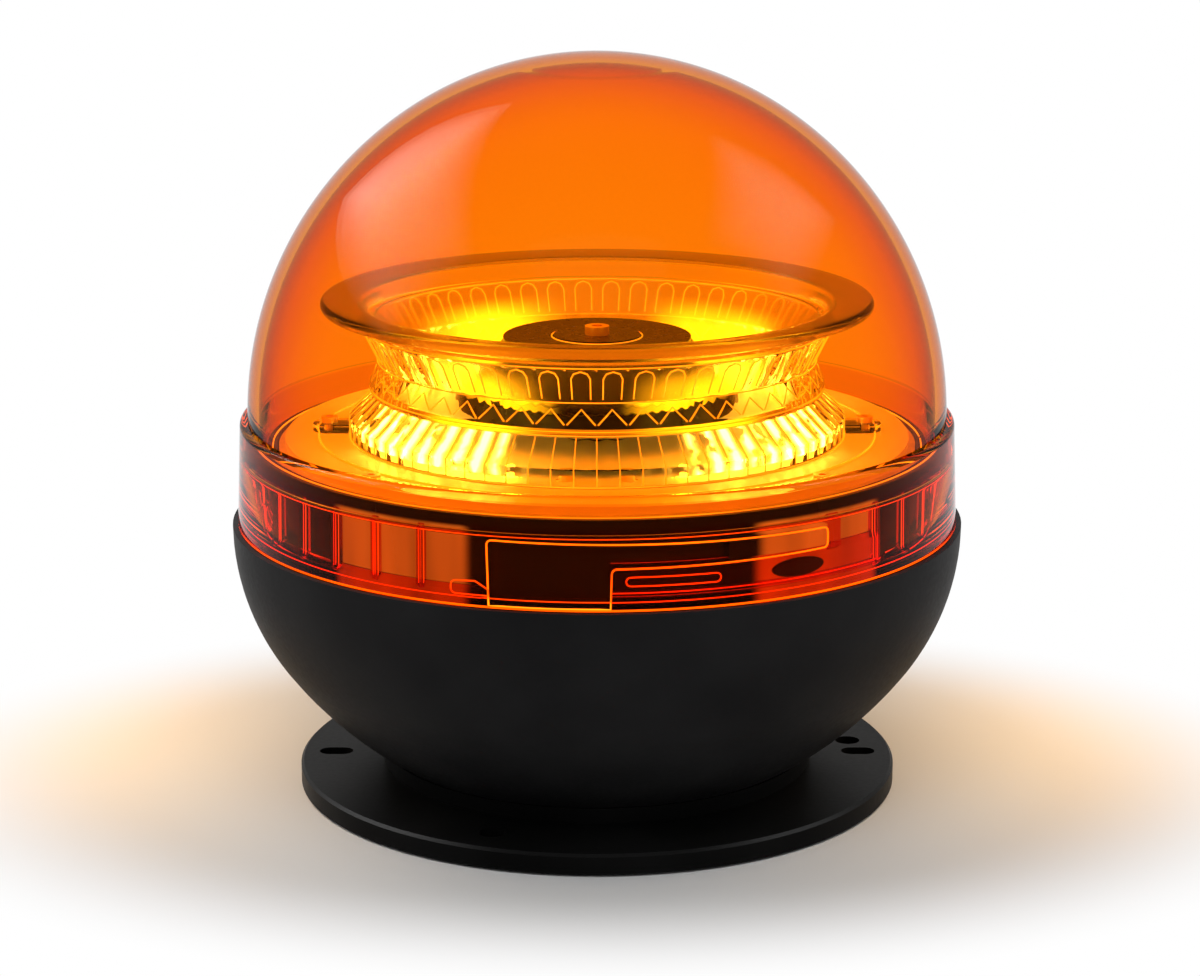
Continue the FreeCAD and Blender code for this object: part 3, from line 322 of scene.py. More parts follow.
def noise(nodes, links, scale, detail=3, rough=0.5, stretch=None):
    """Noise in the part's own coordinates, so that it turns with the piece."""
    where = nodes.new("ShaderNodeTexCoord")
    made = node(nodes, "ShaderNodeTexNoise", Scale=scale, Detail=detail, Roughness=rough)
    if stretch:
        mapping = nodes.new("ShaderNodeMapping")
        mapping.inputs["Scale"].default_value = stretch
        links.new(where.outputs["Object"], mapping.inputs["Vector"])
        links.new(mapping.outputs["Vector"], made.inputs["Vector"])
    else:
        links.new(where.outputs["Object"], made.inputs["Vector"])
    return made


def ramp(nodes, links, source, stops):
    made = nodes.new("ShaderNodeValToRGB")
    while len(made.color_ramp.elements) < len(stops):
        made.color_ramp.elements.new(0.5)
    for element, (place, colour) in zip(made.color_ramp.elements, stops):
        element.position = place
        element.color = (*colour, 1)
    links.new(source, made.inputs["Fac"])
    return made


def spread(nodes, links, source, low, high, first=0, last=1):
    """Maps first..last to low..high."""
    made = nodes.new("ShaderNodeMapRange")
    made.inputs["From Min"].default_value = first
    made.inputs["From Max"].default_value = last
    made.inputs["To Min"].default_value = low
    made.inputs["To Max"].default_value = high
    links.new(source, made.inputs["Value"])
    return made.outputs["Result"]


def bump(nodes, links, source, strength, distance):
    made = nodes.new("ShaderNodeBump")
    made.inputs["Strength"].default_value = strength
    made.inputs["Distance"].default_value = distance
    links.new(source, made.inputs["Height"])
    return made.outputs["Normal"]


def output(nodes, links, source):
    end = nodes.new("ShaderNodeOutputMaterial")
    links.new(source, end.inputs["Surface"])


def shadow_clear(nodes, links, surface, tint):
    """Light meant for what lies behind passes straight through with the tint."""
    path = nodes.new("ShaderNodeLightPath")
    clear = nodes.new("ShaderNodeBsdfTransparent")
    clear.inputs["Color"].default_value = (*tint, 1)
    mix = nodes.new("ShaderNodeMixShader")
    links.new(path.outputs["Is Shadow Ray"], mix.inputs["Fac"])
    links.new(surface, mix.inputs[1])
    links.new(clear.outputs["BSDF"], mix.inputs[2])
    return mix.outputs["Shader"]


def plastic(name, dark, light, rough, level=0.5, grain=900, bumps=0.06):
    """Moulded plastic: a fine grain in its bump, and slow changes in colour and polish."""
    made, nodes, links = material(name)
    body = shader(nodes, light, rough, Specular_IOR_Level=level)
    slow = noise(nodes, links, 35, 2)
    tone = ramp(nodes, links, slow.outputs["Fac"], [(0.35, dark), (0.65, light)])
    links.new(tone.outputs["Color"], body.inputs["Base Color"])
    fine = noise(nodes, links, grain, 2)
    polish = spread(nodes, links, fine.outputs["Fac"], rough * 0.85, rough * 1.15)
    links.new(polish, body.inputs["Roughness"])
    links.new(bump(nodes, links, fine.outputs["Fac"], bumps, 0.0002), body.inputs["Normal"])
    output(nodes, links, body.outputs["BSDF"])
    return made


def metal(name, dark, light, rough):
    """Bare metal with fine changes in colour and polish."""
    made, nodes, links = material(name)
    body = shader(nodes, light, rough, Metallic=1.0)
    fine = noise(nodes, links, 220, 4, 0.6)
    tone = ramp(nodes, links, fine.outputs["Fac"], [(0.3, dark), (0.7, light)])
    links.new(tone.outputs["Color"], body.inputs["Base Color"])
    polish = spread(nodes, links, fine.outputs["Fac"], rough * 0.75, rough * 1.3)
    links.new(polish, body.inputs["Roughness"])
    output(nodes, links, body.outputs["BSDF"])
    return made


def glass(name, stops, rough, shadow_tint, bend=1.49, mirror=(1, 1, 1), ripples=0.02, glow=None):
    """Clear plastic. Its tint deepens where it is seen edge on: stops are (facing, tint)."""
    made, nodes, links = material(name)
    body = shader(nodes, stops[0][1], rough, IOR=bend, Transmission_Weight=1.0)
    body.inputs["Specular Tint"].default_value = (*mirror, 1)
    weight = node(nodes, "ShaderNodeLayerWeight", Blend=0.35)
    tint = ramp(nodes, links, weight.outputs["Facing"], stops)
    links.new(tint.outputs["Color"], body.inputs["Base Color"])
    ripple = noise(nodes, links, 60, 2)
    links.new(bump(nodes, links, ripple.outputs["Fac"], ripples, 0.0003), body.inputs["Normal"])
    if glow:
        glow(nodes, links, body)
    output(nodes, links, shadow_clear(nodes, links, body.outputs["BSDF"], shadow_tint))
    return made


def fade(nodes, links, source, empty, full):
    """0 at one value and 1 at the other, with a soft step between."""
    made = nodes.new("ShaderNodeMapRange")
    made.interpolation_type = "SMOOTHSTEP"
    made.inputs["From Min"].default_value = empty
    made.inputs["From Max"].default_value = full
    links.new(source, made.inputs["Value"])
    return made.outputs["Result"]


def maths(nodes, links, operation, first, second):
    """One sum. Each side is a number or another node's output."""
    made = nodes.new("ShaderNodeMath")
    made.operation = operation
    for socket, value in zip(made.inputs, (first, second)):
        if isinstance(value, (int, float)):
            socket.default_value = value
        else:
            links.new(value, socket)
    return made.outputs["Value"]


def product(nodes, links, first, *others):
    for other in others:
        first = maths(nodes, links, "MULTIPLY", first, other)
    return first


def turn_and_height(nodes, links):
    """The angle about the axis and the height, in the part's own coordinates."""
    where = nodes.new("ShaderNodeTexCoord")
    split = nodes.new("ShaderNodeSeparateXYZ")
    links.new(where.outputs["Object"], split.inputs["Vector"])
    turn = maths(nodes, links, "ARCTAN2", split.outputs["Y"], split.outputs["X"])
    return turn, split.outputs["Z"]


def angle_groups(nodes, links, turn, centre, half, soft, repeats=4):
    """1 inside each of the evenly spaced groups about the axis and 0 between them."""
    shifted = maths(nodes, links, "SUBTRACT", turn, math.radians(centre))
    folded = maths(nodes, links, "PINGPONG", shifted, FULL_TURN / repeats / 2)
    return fade(nodes, links, folded, math.radians(half + soft), math.radians(half - soft))


FLUTE_LIGHT = 75
FLUTE_SHARPNESS = 2.6
DISH_DARK_HEIGHT = 0.0995
DISH_LIT_HEIGHT = 0.0935
WALL_DARK_HEIGHT = 0.0735
WALL_LIT_HEIGHT = 0.0725


def lit_flutes(nodes, links, body):
    """The prism ring glows in four groups: a hot core in each flute, dim joints between. The glow is
    painted: emission stands in for the LED light the flutes carry.
    """
    turn, _ = turn_and_height(nodes, links)
    mask = angle_groups(nodes, links, turn, 45, 22, 3)
    half_flute = FULL_TURN / PRISM_FLUTES / 2
    column = maths(nodes, links, "PINGPONG", turn, half_flute)
    core = spread(nodes, links, column, 0, 1, 0, half_flute)
    shape = maths(nodes, links, "POWER", core, FLUTE_SHARPNESS)
    sparkle = noise(nodes, links, 260, 2)
    bright = spread(nodes, links, sparkle.outputs["Fac"], 0.5, FLUTE_LIGHT, 0.36, 0.56)
    body.inputs["Emission Color"].default_value = (0.62, 0.72, 1.0, 1)
    links.new(product(nodes, links, mask, bright, shape), body.inputs["Emission Strength"])


def lit_dish(nodes, links, body):
    """The dish carries a painted yellow glow low down, about over each lit group: emission stands in for the
    LED light in it.
    """
    turn, height = turn_and_height(nodes, links)
    mask = angle_groups(nodes, links, turn, 42, 20, 14)
    cloud = noise(nodes, links, 55, 2, 0.5, (1, 1, 0.4))
    level = spread(nodes, links, cloud.outputs["Fac"], 0.8, 6.0)
    low = fade(nodes, links, height, DISH_DARK_HEIGHT, DISH_LIT_HEIGHT)
    body.inputs["Emission Color"].default_value = (1.0, 0.85, 0.10, 1)
    links.new(product(nodes, links, mask, level, low), body.inputs["Emission Strength"])


def patchy_glow(nodes, links, body, colour, scale, detail, dim, bright):
    """Emission whose strength changes slowly over the surface."""
    body.inputs["Emission Color"].default_value = (*colour, 1)
    patch = noise(nodes, links, scale, detail)
    links.new(spread(nodes, links, patch.outputs["Fac"], dim, bright), body.inputs["Emission Strength"])


def edge_light(name, colour, strength):
    """Painted glow for a polished edge that pipes the light out: emission on a thin tube stands in for that
    light.
    """
    made, nodes, links = material(name)
    body = shader(nodes, (0.5, 0.03, 0.0), 0.25)
    patchy_glow(nodes, links, body, colour, 45, 2, strength * 0.35, strength * 1.5)
    output(nodes, links, body.outputs["BSDF"])
    return made


def lamp_skin(name, colour, strength):
    """The face of a lit LED."""
    made, nodes, links = material(name)
    body = shader(nodes, (1.0, 0.9, 0.6), 0.2)
    patchy_glow(nodes, links, body, colour, 400, 1, strength * 0.8, strength * 1.2)
    output(nodes, links, body.outputs["BSDF"])
    return made


def painted_sheen_wall(name):
    """Gloss black wall with a painted warm sheen in five broad zones: emission stands in for reflected
    light.
    """
    made, nodes, links = material(name)
    body = shader(nodes, (0.005, 0.004, 0.004), 0.15, Specular_IOR_Level=0.12)
    turn, height = turn_and_height(nodes, links)
    mask = angle_groups(nodes, links, turn, 20.5, 12.5, 1.2, 5)
    patch = noise(nodes, links, 110, 2, 0.5, (1, 1, 0.12))
    level = spread(nodes, links, patch.outputs["Fac"], 0.0, 1.5)
    below = fade(nodes, links, height, WALL_DARK_HEIGHT, WALL_LIT_HEIGHT)
    # Painted reflection: dim warm emission in five zones about the axis, only below a height of 72.5 mm.
    body.inputs["Emission Color"].default_value = (0.80, 0.42, 0.60, 1)
    links.new(product(nodes, links, mask, level, below), body.inputs["Emission Strength"])
    output(nodes, links, body.outputs["BSDF"])
    return made


BLACK_DEEP = (0.009, 0.009, 0.0095)
BLACK = (0.014, 0.014, 0.0145)

LENS_TINT = [
    (0.0, (1.0, 0.45, 0.025)),
    (0.3, (1.0, 0.41, 0.02)),
    (0.45, (0.92, 0.31, 0.01)),
    (0.55, (0.82, 0.22, 0.004)),
    (0.68, (0.45, 0.07, 0.0)),
    (0.85, (0.12, 0.01, 0.0)),
]
BAND_TINT = [
    (0.0, (0.90, 0.22, 0.01)),
    (0.3, (0.86, 0.19, 0.006)),
    (0.55, (0.70, 0.10, 0.002)),
    (0.8, (0.30, 0.02, 0.0)),
]
OPTIC_TINT = [
    (0.0, (0.97, 0.96, 0.90)),
    (0.5, (0.90, 0.86, 0.70)),
    (0.8, (0.55, 0.45, 0.20)),
    (1.0, (0.25, 0.18, 0.05)),
]
BRIM_TINT = [
    (0.0, (0.60, 0.52, 0.34)),
    (0.4, (0.54, 0.46, 0.28)),
    (0.8, (0.25, 0.18, 0.06)),
]
ORANGE_SHADOW = (1.0, 0.68, 0.15)
CLEAR_SHADOW = (0.98, 0.98, 0.96)
OPTIC_MIRROR = (1, 0.9, 0.7)

lens_clear = glass("lens_clear", LENS_TINT, 0.0, ORANGE_SHADOW, 1.07, (1, 0.85, 0.65))
band_clear = glass("band_clear", BAND_TINT, 0.0, ORANGE_SHADOW, 1.14, (1, 0.4, 0.15))
optic_clear = glass("optic_clear", OPTIC_TINT, 0.0, CLEAR_SHADOW, 1.14, OPTIC_MIRROR)
brim_clear = glass("brim_clear", BRIM_TINT, 0.0, CLEAR_SHADOW, 1.14, OPTIC_MIRROR)
prism_clear = glass("prism_clear", OPTIC_TINT, 0.03, CLEAR_SHADOW, 1.2, OPTIC_MIRROR)
# prism_lit and dish_clear carry painted glow: emission on clear plastic, which is no lamp.
prism_lit = glass("prism_lit", OPTIC_TINT, 0.03, CLEAR_SHADOW, 1.2, OPTIC_MIRROR, glow=lit_flutes)
dish_clear = glass("dish_clear", OPTIC_TINT, 0.25, CLEAR_SHADOW, 1.14, OPTIC_MIRROR, glow=lit_dish)
# Painted glow lines: emission for the thin tubes along the edges of the optic, the lens and its bayonet
# openings.
optic_edge = edge_light("optic_edge", (1.0, 0.60, 0.12), 1.7)
lens_edge = edge_light("lens_edge", (1.0, 0.18, 0.0), 2.0)
opening_light = edge_light("opening_light", (1.0, 0.42, 0.04), 3.0)
lens_dark = plastic("lens_dark", (0.010, 0.002, 0.001), (0.016, 0.004, 0.002), 0.3, 0.2, 400, 0.01)
housing = plastic("housing", BLACK_DEEP, BLACK, 0.5, 0.03)
flange_skin = plastic("flange_skin", (0.003, 0.003, 0.003), (0.006, 0.006, 0.006), 0.38, 0.02)
gloss_black = plastic("gloss_black", (0.004, 0.004, 0.0045), (0.007, 0.007, 0.0075), 0.12, 0.2, 300, 0.01)
chassis_painted_sheen = painted_sheen_wall("chassis_painted_sheen")
hub_black = plastic("hub_black", (0.003, 0.003, 0.003), (0.006, 0.005, 0.005), 0.28, 0.12, 500, 0.02)
board_white = plastic("board_white", (0.74, 0.73, 0.70), (0.82, 0.81, 0.78), 0.35, 0.5, 700, 0.02)
board_green = plastic("board_green", (0.02, 0.14, 0.06), (0.03, 0.20, 0.08), 0.3)
nylon = plastic("nylon", (0.72, 0.69, 0.60), (0.82, 0.79, 0.70), 0.4)
rubber = plastic("rubber", (0.008, 0.008, 0.008), (0.014, 0.014, 0.014), 0.7, 0.3)
sleeve = plastic("sleeve", (0.012, 0.018, 0.06), (0.02, 0.03, 0.09), 0.25)
green_block = plastic("green_block", (0.02, 0.20, 0.07), (0.03, 0.28, 0.10), 0.4)
unlit = plastic("unlit", (0.70, 0.55, 0.20), (0.85, 0.70, 0.30), 0.25, 0.5, 700, 0.02)
steel = metal("steel", (0.42, 0.42, 0.43), (0.66, 0.66, 0.67), 0.3)
black_steel = metal("black_steel", (0.03, 0.03, 0.033), (0.07, 0.07, 0.075), 0.35)
aluminium = metal("aluminium", (0.62, 0.62, 0.64), (0.80, 0.80, 0.82), 0.35)
brass = metal("brass", (0.75, 0.50, 0.18), (0.95, 0.72, 0.35), 0.3)
bronze = metal("bronze", (0.38, 0.24, 0.10), (0.62, 0.42, 0.20), 0.4)
copper = metal("copper", (0.50, 0.20, 0.08), (0.80, 0.40, 0.20), 0.3)
lit = lamp_skin("lit", (1.0, 0.78, 0.40), 8)

CAD_FINISH = {
    "mounting_flange": flange_skin,
    "base_bowl": housing,
    "lens_seal": rubber,
    "cable_grommet": rubber,
    "board_standoffs": bronze,
    "driver_board": board_green,
    "capacitors": sleeve,
    "power_coil": copper,
    "terminal_block": green_block,
    "driver_chip": gloss_black,
    "chassis": chassis_painted_sheen,
    "heat_plate": aluminium,
    "led_board": board_white,
    "leds_lit": lit,
    "leds_dark": unlit,
    "spindle": steel,
    "spindle_nut": steel,
    "thrust_washer": steel,
    "retaining_clip": steel,
    "lower_bush": bronze,
    "upper_bush": bronze,
    "rotor_hub": hub_black,
    "hub_cap": hub_black,
    "drive_gear": nylon,
    "motor_pinion": nylon,
    "motor_shaft": steel,
    "motor_can": steel,
    "flange_screws": steel,
    "chassis_screws": steel,
    "deck_screws": brass,
    "prism_screws": brass,
    "optic_screws": black_steel,
    "gear_screws": steel,
    "hub_screw": brass,
    "motor_screws": steel,
    "board_screws": steel,
}


def finish_cad():
    for name, skin in CAD_FINISH.items():
        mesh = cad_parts[name].data
        mesh.materials.clear()
        mesh.materials.append(skin)


# ---------------------------------------------------------------- lens

def lens_shell():
    """Band and dome in one shell, with the shallow step inside the crown."""
    outside = rounded([
        (BAND_BORE, LENS_FOOT, 0.2),
        (BAND_RADIUS, LENS_FOOT, 0.5),
        (BAND_TOP_RADIUS, SHOULDER, SHOULDER_ROUND),
        (DOME_RADIUS - 0.35, SHOULDER + 0.02),
    ])
    profile = outside + arch(DOME_RADIUS, DOME_RISE, DOME_ARCH, DOME_BASE, 40)
    inner = arch(DOME_RADIUS - DOME_WALL, DOME_RISE - DOME_WALL, DOME_ARCH, DOME_BASE, 40)
    crown = [(r, z - CROWN_STEP) if r < CROWN_RING else (r, z) for r, z in inner]
    profile += list(reversed(crown))
    profile += rounded([
        (DOME_RADIUS - DOME_WALL, BAND_LEDGE + 2),
        (DOME_RADIUS - DOME_WALL, BAND_LEDGE, 0.3),
        (BAND_BORE, BAND_LEDGE, 0.3),
        (BAND_BORE, LENS_FOOT + 2),
    ])[1:]

    def band_or_dome(k, angle):
        return 1 if profile[k][1] < SHOULDER - SHOULDER_ROUND else 0

    return lathe("lens_shell", profile, [lens_clear, band_clear], pick=band_or_dome)


def wall_block(name, inner, first, last, low, high, materials, soft=0.25):
    """A block on the inside of the band, between two angles and two heights."""
    steps = max(2, round((last - first) / 1.5))
    profile = rounded([
        (inner, low, soft),
        (BAND_BORE + 0.1, low),
        (BAND_BORE + 0.1, high),
        (inner, high, soft),
    ], 3)
    return lathe(name, profile, materials, segments=steps, span=(first, last))


def fine_places(path, closed):
    """Places along a path of (radius, degrees, z) points, about 1.5 degrees apart."""
    points = []
    for k in range(len(path) - (0 if closed else 1)):
        a = path[k]
        b = path[(k + 1) % len(path)]
        steps = max(1, round(abs(b[1] - a[1]) / 1.5))
        for step in range(steps):
            share = step / steps
            points.append(tuple(a[i] + (b[i] - a[i]) * share for i in range(3)))
    if not closed:
        points.append(path[-1])
    return [Vector(polar(r, math.radians(turn), z)) for r, turn, z in points]


def bead_ring(places, k, closed, size, sides):
    """The tube's points around one place, square to its run."""
    count = len(places)
    here = places[k]
    if closed:
        run = places[(k + 1) % count] - places[k - 1]
    else:
        run = places[min(k + 1, count - 1)] - places[max(k - 1, 0)]
    run.normalize()
    out = Vector((here.x, here.y, 0)).normalized()
    side = run.cross(out).normalized()
    out = side.cross(run).normalized()
    ring = []
    for s in range(sides):
        turn = FULL_TURN * s / sides
        ring.append(tuple(here + (out * math.cos(turn) + side * math.sin(turn)) * size))
    return ring


def bead(name, path, size, materials, closed=False, sides=6):
    """A thin round tube along a path of (radius, degrees, z) points; it carries a painted glow line along an
    edge.
    """
    places = fine_places(path, closed)
    count = len(places)
    verts = []
    for k in range(count):
        verts += bead_ring(places, k, closed, size, sides)
    faces = []
    for k in range(count if closed else count - 1):
        faces += ring_faces(k * sides, (k + 1) % count * sides, sides)
    if not closed:
        faces.append(list(range(sides)))
        faces.append(list(reversed(range((count - 1) * sides, count * sides))))
    return mesh_object(name, verts, faces, materials, crease=60)


def opening_path(inner, shift):
    """The bayonet's way in and its track, as one L-shaped outline with rounded corners."""
    corners = [
        (OPENING_START, LENS_FOOT + 0.6, 0),
        (WINDOW_END, LENS_FOOT + 0.6, 0),
        (WINDOW_END, RAIL_TOP, 1.2),
        (OPENING_END, RAIL_TOP, 1.2),
        (OPENING_END, OPENING_TOP, 1.2),
        (OPENING_START, OPENING_TOP, 0.6),
    ]
    per_degree = math.radians(inner)
    flat = rounded([(a * per_degree, z, size) for a, z, size in corners], 4)
    return [(inner, x / per_degree + shift, z) for x, z in flat]


def loop_path(inner):
    """A small moulded ramp just before the bayonet's way in."""
    per_degree = math.radians(inner)
    corners = [
        (LOOP_START, LOOP_LOW, 1.0),
        (LOOP_END, LOOP_LOW, 0),
        (LOOP_END, LOOP_LOW + 1.2, 0),
        (LOOP_END - 2.2, LOOP_HIGH, 0.8),
        (LOOP_START, LOOP_HIGH, 1.0),
    ]
    flat = rounded([(a * per_degree, z, size) for a, z, size in corners], 4)
    return [(inner, x / per_degree, z) for x, z in flat]


def oval_pad(name, shift, materials):
    """A dark oval pad on the rail's face."""
    steps = 28
    verts = []
    for radius, share in ((BAND_LAND + 0.2, 1.0), (BAND_LAND - 0.15, 1.0), (BAND_LAND - 0.25, 0.9)):
        for k in range(steps):
            turn = FULL_TURN * k / steps
            angle = math.radians(OVAL_ANGLE + shift + OVAL_HALF_ANGLE * share * math.cos(turn))
            verts.append(polar(radius, angle, OVAL_HEIGHT + OVAL_HALF_HEIGHT * share * math.sin(turn)))
    for radius in (BAND_LAND - 0.25, BAND_LAND + 0.2):
        verts.append(polar(radius, math.radians(OVAL_ANGLE + shift), OVAL_HEIGHT))
    faces = ring_faces(0, steps, steps) + ring_faces(steps, 2 * steps, steps)
    for k in range(steps):
        follow = (k + 1) % steps
        faces.append([2 * steps + k, 2 * steps + follow, 3 * steps])
        faces.append([follow, k, 3 * steps + 1])
    return mesh_object(name, verts, faces, materials)


def slot_path(inner):
    """The long rounded slot in the rail, as a stadium."""
    half = (SLOT_HIGH - SLOT_LOW) / 2
    turn = math.degrees(half / inner)
    middle = (SLOT_HIGH + SLOT_LOW) / 2
    path = []
    for centre, start in ((SLOT_END - turn, -90), (SLOT_START + turn, 90)):
        for k in range(9):
            angle = math.radians(start + 180 * k / 8)
            path.append((inner, centre + turn * math.cos(angle), middle + half * math.sin(angle)))
    return path


def rib_angles(shift):
    """Ribs stand between a bayonet's stop and the next window."""
    return [STOP_END + RIB_GAP + shift + k * RIB_PITCH for k in range(RIB_COUNT)]


def moved(path, shift):
    """The same path, turned about the axis by some degrees."""
    return [(r, angle + shift, z) for r, angle, z in path]


def bayonet_blocks(tag, shift):
    """The foot, rail, stop and ribs of one bayonet."""
    start = WINDOW_END + shift
    foot_end = WINDOW_START + BAYONET_PITCH + shift
    stop_start = STOP_START + shift
    stop_end = STOP_END + shift
    above_foot = FOOT_TOP + BLOCK_GAP
    above_rail = RAIL_TOP + BLOCK_GAP
    under_ledge = BAND_LEDGE - BLOCK_GAP
    skin = [band_clear]
    blocks = [
        wall_block("foot" + tag, BAND_LAND, start, foot_end, LENS_FOOT, FOOT_TOP, skin),
        wall_block("rail" + tag, BAND_LAND, start, RAIL_END + shift, above_foot, RAIL_TOP, skin),
        wall_block("stop" + tag, BAND_LAND, stop_start, stop_end, above_rail, under_ledge, skin),
    ]
    for k, angle in enumerate(rib_angles(shift)):
        end = angle + RIB_ANGLE
        blocks.append(wall_block(f"rib{tag}_{k}", RIB_INNER, angle, end, above_foot, under_ledge, skin, 0.1))
    return blocks


def bayonet_glow_lines(tag, shift):
    """The painted glow lines of one bayonet: its way in, slot, rail, ramp and ribs."""
    light = [lens_edge]
    opening = opening_path(BAND_BORE - 0.15, shift)
    slot = moved(slot_path(BAND_LAND + 0.1), shift)
    rail_foot = [
        (BAND_LAND + 0.1, WINDOW_END + shift, FOOT_TOP),
        (BAND_LAND + 0.1, RAIL_END + shift, FOOT_TOP),
    ]
    ramp_loop = moved(loop_path(BAND_BORE - 0.1), shift)
    edges = [
        bead("opening_edge" + tag, opening, OPENING_LINE, [opening_light], closed=True),
        bead("slot_edge" + tag, slot, SLOT_LINE, light, closed=True),
        bead("rail_foot" + tag, rail_foot, RAIL_LINE, light),
        bead("ramp_edge" + tag, ramp_loop, LOOP_LINE, light, closed=True),
    ]
    for k, angle in enumerate(rib_angles(shift)):
        for n, side in enumerate((angle, angle + RIB_ANGLE)):
            line = [(RIB_INNER + 0.1, side, FOOT_TOP), (RIB_INNER + 0.1, side, BAND_LEDGE - 0.3)]
            edges.append(bead(f"rib_edge{tag}_{k}_{n}", line, RIB_LINE, light))
    return edges


def band_circles():
    """The painted glow lines that run all the way round the band."""
    edges = []
    for name, radius, height, size in (
        ("foot_edge", BAND_RADIUS - 0.5, LENS_FOOT + 0.9, 0.22),
        ("foot_land_edge", BAND_LAND + 0.2, LENS_FOOT + 1.6, 0.12),
        ("ledge_edge", BAND_BORE - 0.1, BAND_LEDGE - 0.1, 0.11),
    ):
        path = circle_path(radius, height, BAND_CIRCLE_STEPS)
        edges.append(bead(name, path, size, [lens_edge], closed=True))
    return edges


def lens_band():
    """Everything inside the band: its moulded blocks and oval pads, and the painted glow lines along the
    blocks' edges.
    """
    blocks = []
    edges = []
    ovals = []
    for b in range(BAYONETS):
        shift = b * BAYONET_PITCH
        tag = f"_{b}"
        blocks += bayonet_blocks(tag, shift)
        edges += bayonet_glow_lines(tag, shift)
        ovals.append(oval_pad("oval" + tag, shift, [lens_dark]))
    edges += band_circles()
    return joined("lens_band", blocks), joined("lens_glow_lines", edges), joined("lens_ovals", ovals)


# ---------------------------------------------------------------- prism ring

def prism_ring():
    """The fluted ring around the LEDs, with its two ears."""
    profile = [
        (50.6, DECK_TOP),
        (PRISM_SIDE, DECK_TOP),
        (PRISM_SIDE, 79),
        (PRISM_SIDE, PRISM_SIDE_TOP),
        (50, 83.8),
        (PRISM_HEAD, PRISM_TOP),
        (45, PRISM_TOP),
        (45, 85.2),
        (47.8, 81.8),
        (50.6, 78.4),
    ]
    depths = [0.3, 0, 0.35, 0.35, 0.45, 0.2, 0.1, 0.35, 0.6, 0.6]
    outward = [1, -1, -1, -1, -1, -1, 1, 1, 1, 1]

    def flute(k, r, z, angle):
        return r + outward[k] * depths[k] * zigzag(angle, PRISM_FLUTES), z

    def lit_outside(k, angle):
        return 1 if k in (2, 3, 4) else 0

    skins = [prism_clear, prism_lit]
    ring = lathe("prism_ring_dressed", profile, skins, flute, PRISM_FLUTES * 4, pick=lit_outside, crease=20)
    return joined("prism_ring_dressed", [ring, ear("ear_right", 1), ear("ear_left", -1)])


def ring_beads(name, rings):
    """Thin circles of painted glow; each is (radius, z, size)."""
    edges = []
    for k, (radius, z, size) in enumerate(rings):
        path = circle_path(radius, z, OPTIC_CIRCLE_STEPS)
        edges.append(bead(f"{name}_{k}", path, size, [optic_edge], closed=True))
    return joined(name, edges)


def prism_glow_lines():
    """Painted glow lines on the joints between the flutes, and on the ring's foot and shoulder."""
    edges = []
    for k in range(PRISM_FLUTES):
        angle = 360 * k / PRISM_FLUTES
        line = [
            (PRISM_SIDE + 0.05, angle, DECK_TOP + 0.6),
            (PRISM_SIDE + 0.05, angle, PRISM_SIDE_TOP),
            (PRISM_HEAD + 0.2, angle, PRISM_TOP - 0.1),
        ]
        edges.append(bead(f"flute_edge_{k}", line, FLUTE_LINE, [optic_edge]))
    for name, radius, z in (
        ("prism_foot_ring", PRISM_SIDE + 0.1, DECK_TOP + 0.3),
        ("prism_head_ring", PRISM_HEAD, PRISM_TOP),
    ):
        ring = circle_path(radius, z, OPTIC_CIRCLE_STEPS)
        edges.append(bead(name, ring, PRISM_LINE, [optic_edge], closed=True))
    return joined("prism_glow_lines", edges)


def ear_outline(side, size, level, steps):
    """A half round end and two corners at the ring's side."""
    outline = []
    for k in range(steps + 1):
        turn = -math.pi / 2 + math.pi * k / steps
        outline.append((side * (EAR_CIRCLE + size * math.cos(turn)), size * math.sin(turn), level))
    outline.append((side * EAR_ROOT, size, level))
    outline.append((side * EAR_ROOT, -size, level))
    return outline


def ear_bore(side, level, count):
    """The screw hole's circle, with as many points as the outline."""
    circle = []
    for k in range(count):
        turn = FULL_TURN * k / count - math.pi / 2
        circle.append((side * (EAR_CIRCLE + EAR_HOLE * math.cos(turn)), EAR_HOLE * math.sin(turn), level))
    return circle


def ear(name, side):
    """A rounded lug with a screw hole, grown out of the ring's foot."""
    steps = 16
    count = steps + 3
    verts = ear_outline(side, EAR_RADIUS, DECK_TOP, steps)
    verts += ear_outline(side, EAR_RADIUS, EAR_TOP - 0.3, steps)
    verts += ear_outline(side, EAR_RADIUS - 0.25, EAR_TOP, steps)
    verts += ear_bore(side, DECK_TOP, count)
    verts += ear_bore(side, EAR_TOP, count)
    foot, bend, top, hole_low, hole_high = (level * count for level in range(5))
    faces = ring_faces(foot, bend, count)
    faces += ring_faces(bend, top, count)
    faces += ring_faces(top, hole_high, count)
    faces += ring_faces(hole_high, hole_low, count)
    faces += ring_faces(foot, hole_low, count)
    return mesh_object(name, verts, faces, [prism_clear])


# ---------------------------------------------------------------- funnel optic

def row_radius(z):
    """Radius of the toothed wall at a height."""
    low, high = (ROW_FOOT, ROW_BEND) if z < ROW_BEND[1] else (ROW_BEND, ROW_HEAD)
    return low[0] + (high[0] - low[0]) * (z - low[1]) / (high[1] - low[1])


def arrow_radius(z):
    """Radius just outside the plain wall below the toothed row."""
    return 48.15 - (z - 88.6) * 1.55 / 4.5


def tooth_outline(middle, half):
    """One round-headed tooth as a path of (radius, degrees, z) points."""
    corners = (
        (-half, TOOTH_FOOT),
        (-half, TOOTH_SIDE),
        (-half * 0.7, TOOTH_BROW),
        (0, TOOTH_CREST),
        (half * 0.7, TOOTH_BROW),
        (half, TOOTH_SIDE),
        (half, TOOTH_FOOT),
    )
    return [(row_radius(z) + 0.05, middle + turn, z) for turn, z in corners]


def arrowhead(middle, half):
    corners = ((-half, ARROW_FOOT), (0, ARROW_TIP), (half, ARROW_FOOT))
    return [(arrow_radius(z), middle + turn, z) for turn, z in corners]


